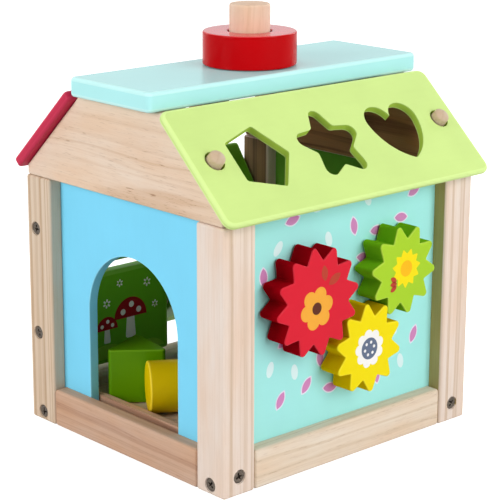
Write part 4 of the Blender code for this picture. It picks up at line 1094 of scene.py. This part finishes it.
# %% Make the blocks
BLOCK, BLOCK_GAP, BLOCK_ROUND = 32 * MM, 1.2 * MM, 0.9 * MM
REST = 16.3 * MM
CYLINDER = 15 * MM
block_paints = {name: paint_finish(name + "_block_paint", colour, rim_highlight_colour, along, 0.36)
                for name, colour, rim_highlight_colour, along in (
    ("leaf", (95, 150, 2), (130, 180, 34), "Z"), ("blue", (134, 214, 246), (170, 226, 246), "Z"),
    ("crimson", (196, 50, 82), (214, 80, 108), "Z"), ("red", (214, 24, 40), (226, 60, 70), "Z"),
    ("yellow", (240, 203, 2), (250, 224, 70), "X"),
)}
for name, points, paint, slot, x, y, turn in (
    ("triangle", TRIANGLE, "leaf", "leaf", -56.797, 30.156, 81.0),
    ("pentagon", PENTAGON, "red", "red", 55.574, -51.711, 18.0),
    ("star", STAR, "blue", "sky_blue", 14.67, -47.068, -16.0),
    ("square", SQUARE, "blue", "sky_blue", -20.686, -51.571, 4.0),
    ("heart", HEART, "crimson", "crimson", 59.457, 22.403, 35.0),
):
    bm = soften(plate(drawn_in(points, BLOCK_GAP), BLOCK), BLOCK_ROUND)
    move(bm, at(x * MM, y * MM, REST) @ Matrix.Rotation(radians(turn), 4, "Z"))
    make_piece(name + "_block", bm, "block_" + name, ["block_" + name], [block_paints[paint]])
bm = bmesh.new()
ops.create_cone(bm, cap_ends=True, segments=72, radius1=CYLINDER, radius2=CYLINDER, depth=BLOCK)
soften(bm, 1.0 * MM)
ops.translate(bm, verts=bm.verts, vec=(0, 0, BLOCK / 2))
lying = Matrix.Rotation(radians(-32.1), 4, "Z") @ Matrix.Rotation(pi / 2, 4, "Y")
move(bm, at(-68.4 * MM, 6.3 * MM, REST + CYLINDER) @ lying)
make_piece("cylinder_block", bm, "block_cylinder", ["block_cylinder"], [block_paints["yellow"]])

# %% [markdown]
# ## Screws
# Twelve countersunk screws hold the frame. Only their heads show, deep in the holes, with a cross recess: a plus
# of twelve points is left open in the head and pushed down, narrowing as it goes.

# %% Make the screws
SHANK = 1.5 * MM
SCREW_SECTION = [(0.0, 0.0), (3.3 * MM, 0.0), (3.6 * MM, -0.3 * MM)]
SCREW_SECTION += [(SHANK, -2.6 * MM), (SHANK, -35 * MM), (0.0, -38 * MM)]
CROSS_HALF, CROSS_REACH = 0.55 * MM, 2.3 * MM
CROSS_SINK = [(1.6 * MM, 0.35)]


def cross_points(a, b):
    """The twelve points of a plus sign, from its half width and its reach."""
    left = [(a, b), (-a, b), (-a, a), (-b, a), (-b, -a), (-a, -a)]
    return left + [(-x, -y) for x, y in left]


for number, (node, head, outward) in enumerate(screw_spots):
    bm = turned(SCREW_SECTION, 32)
    top = [f for f in bm.faces if f.normal.z > 0.99]
    ops.dissolve_faces(bm, faces=top, use_verts=True)
    plus = shifted(cross_points(CROSS_HALF, CROSS_REACH), 0, 0, 0.5 * number)
    sink(bm, (0, 0, 1), [([Vector((x, y, 0.0)) for x, y in plus], CROSS_SINK)])
    move(bm, Matrix.Translation(head) @ outward.to_track_quat("Z", "Y").to_matrix().to_4x4())
    make_piece(node + "_steel", bm, "house", [node], [steel])
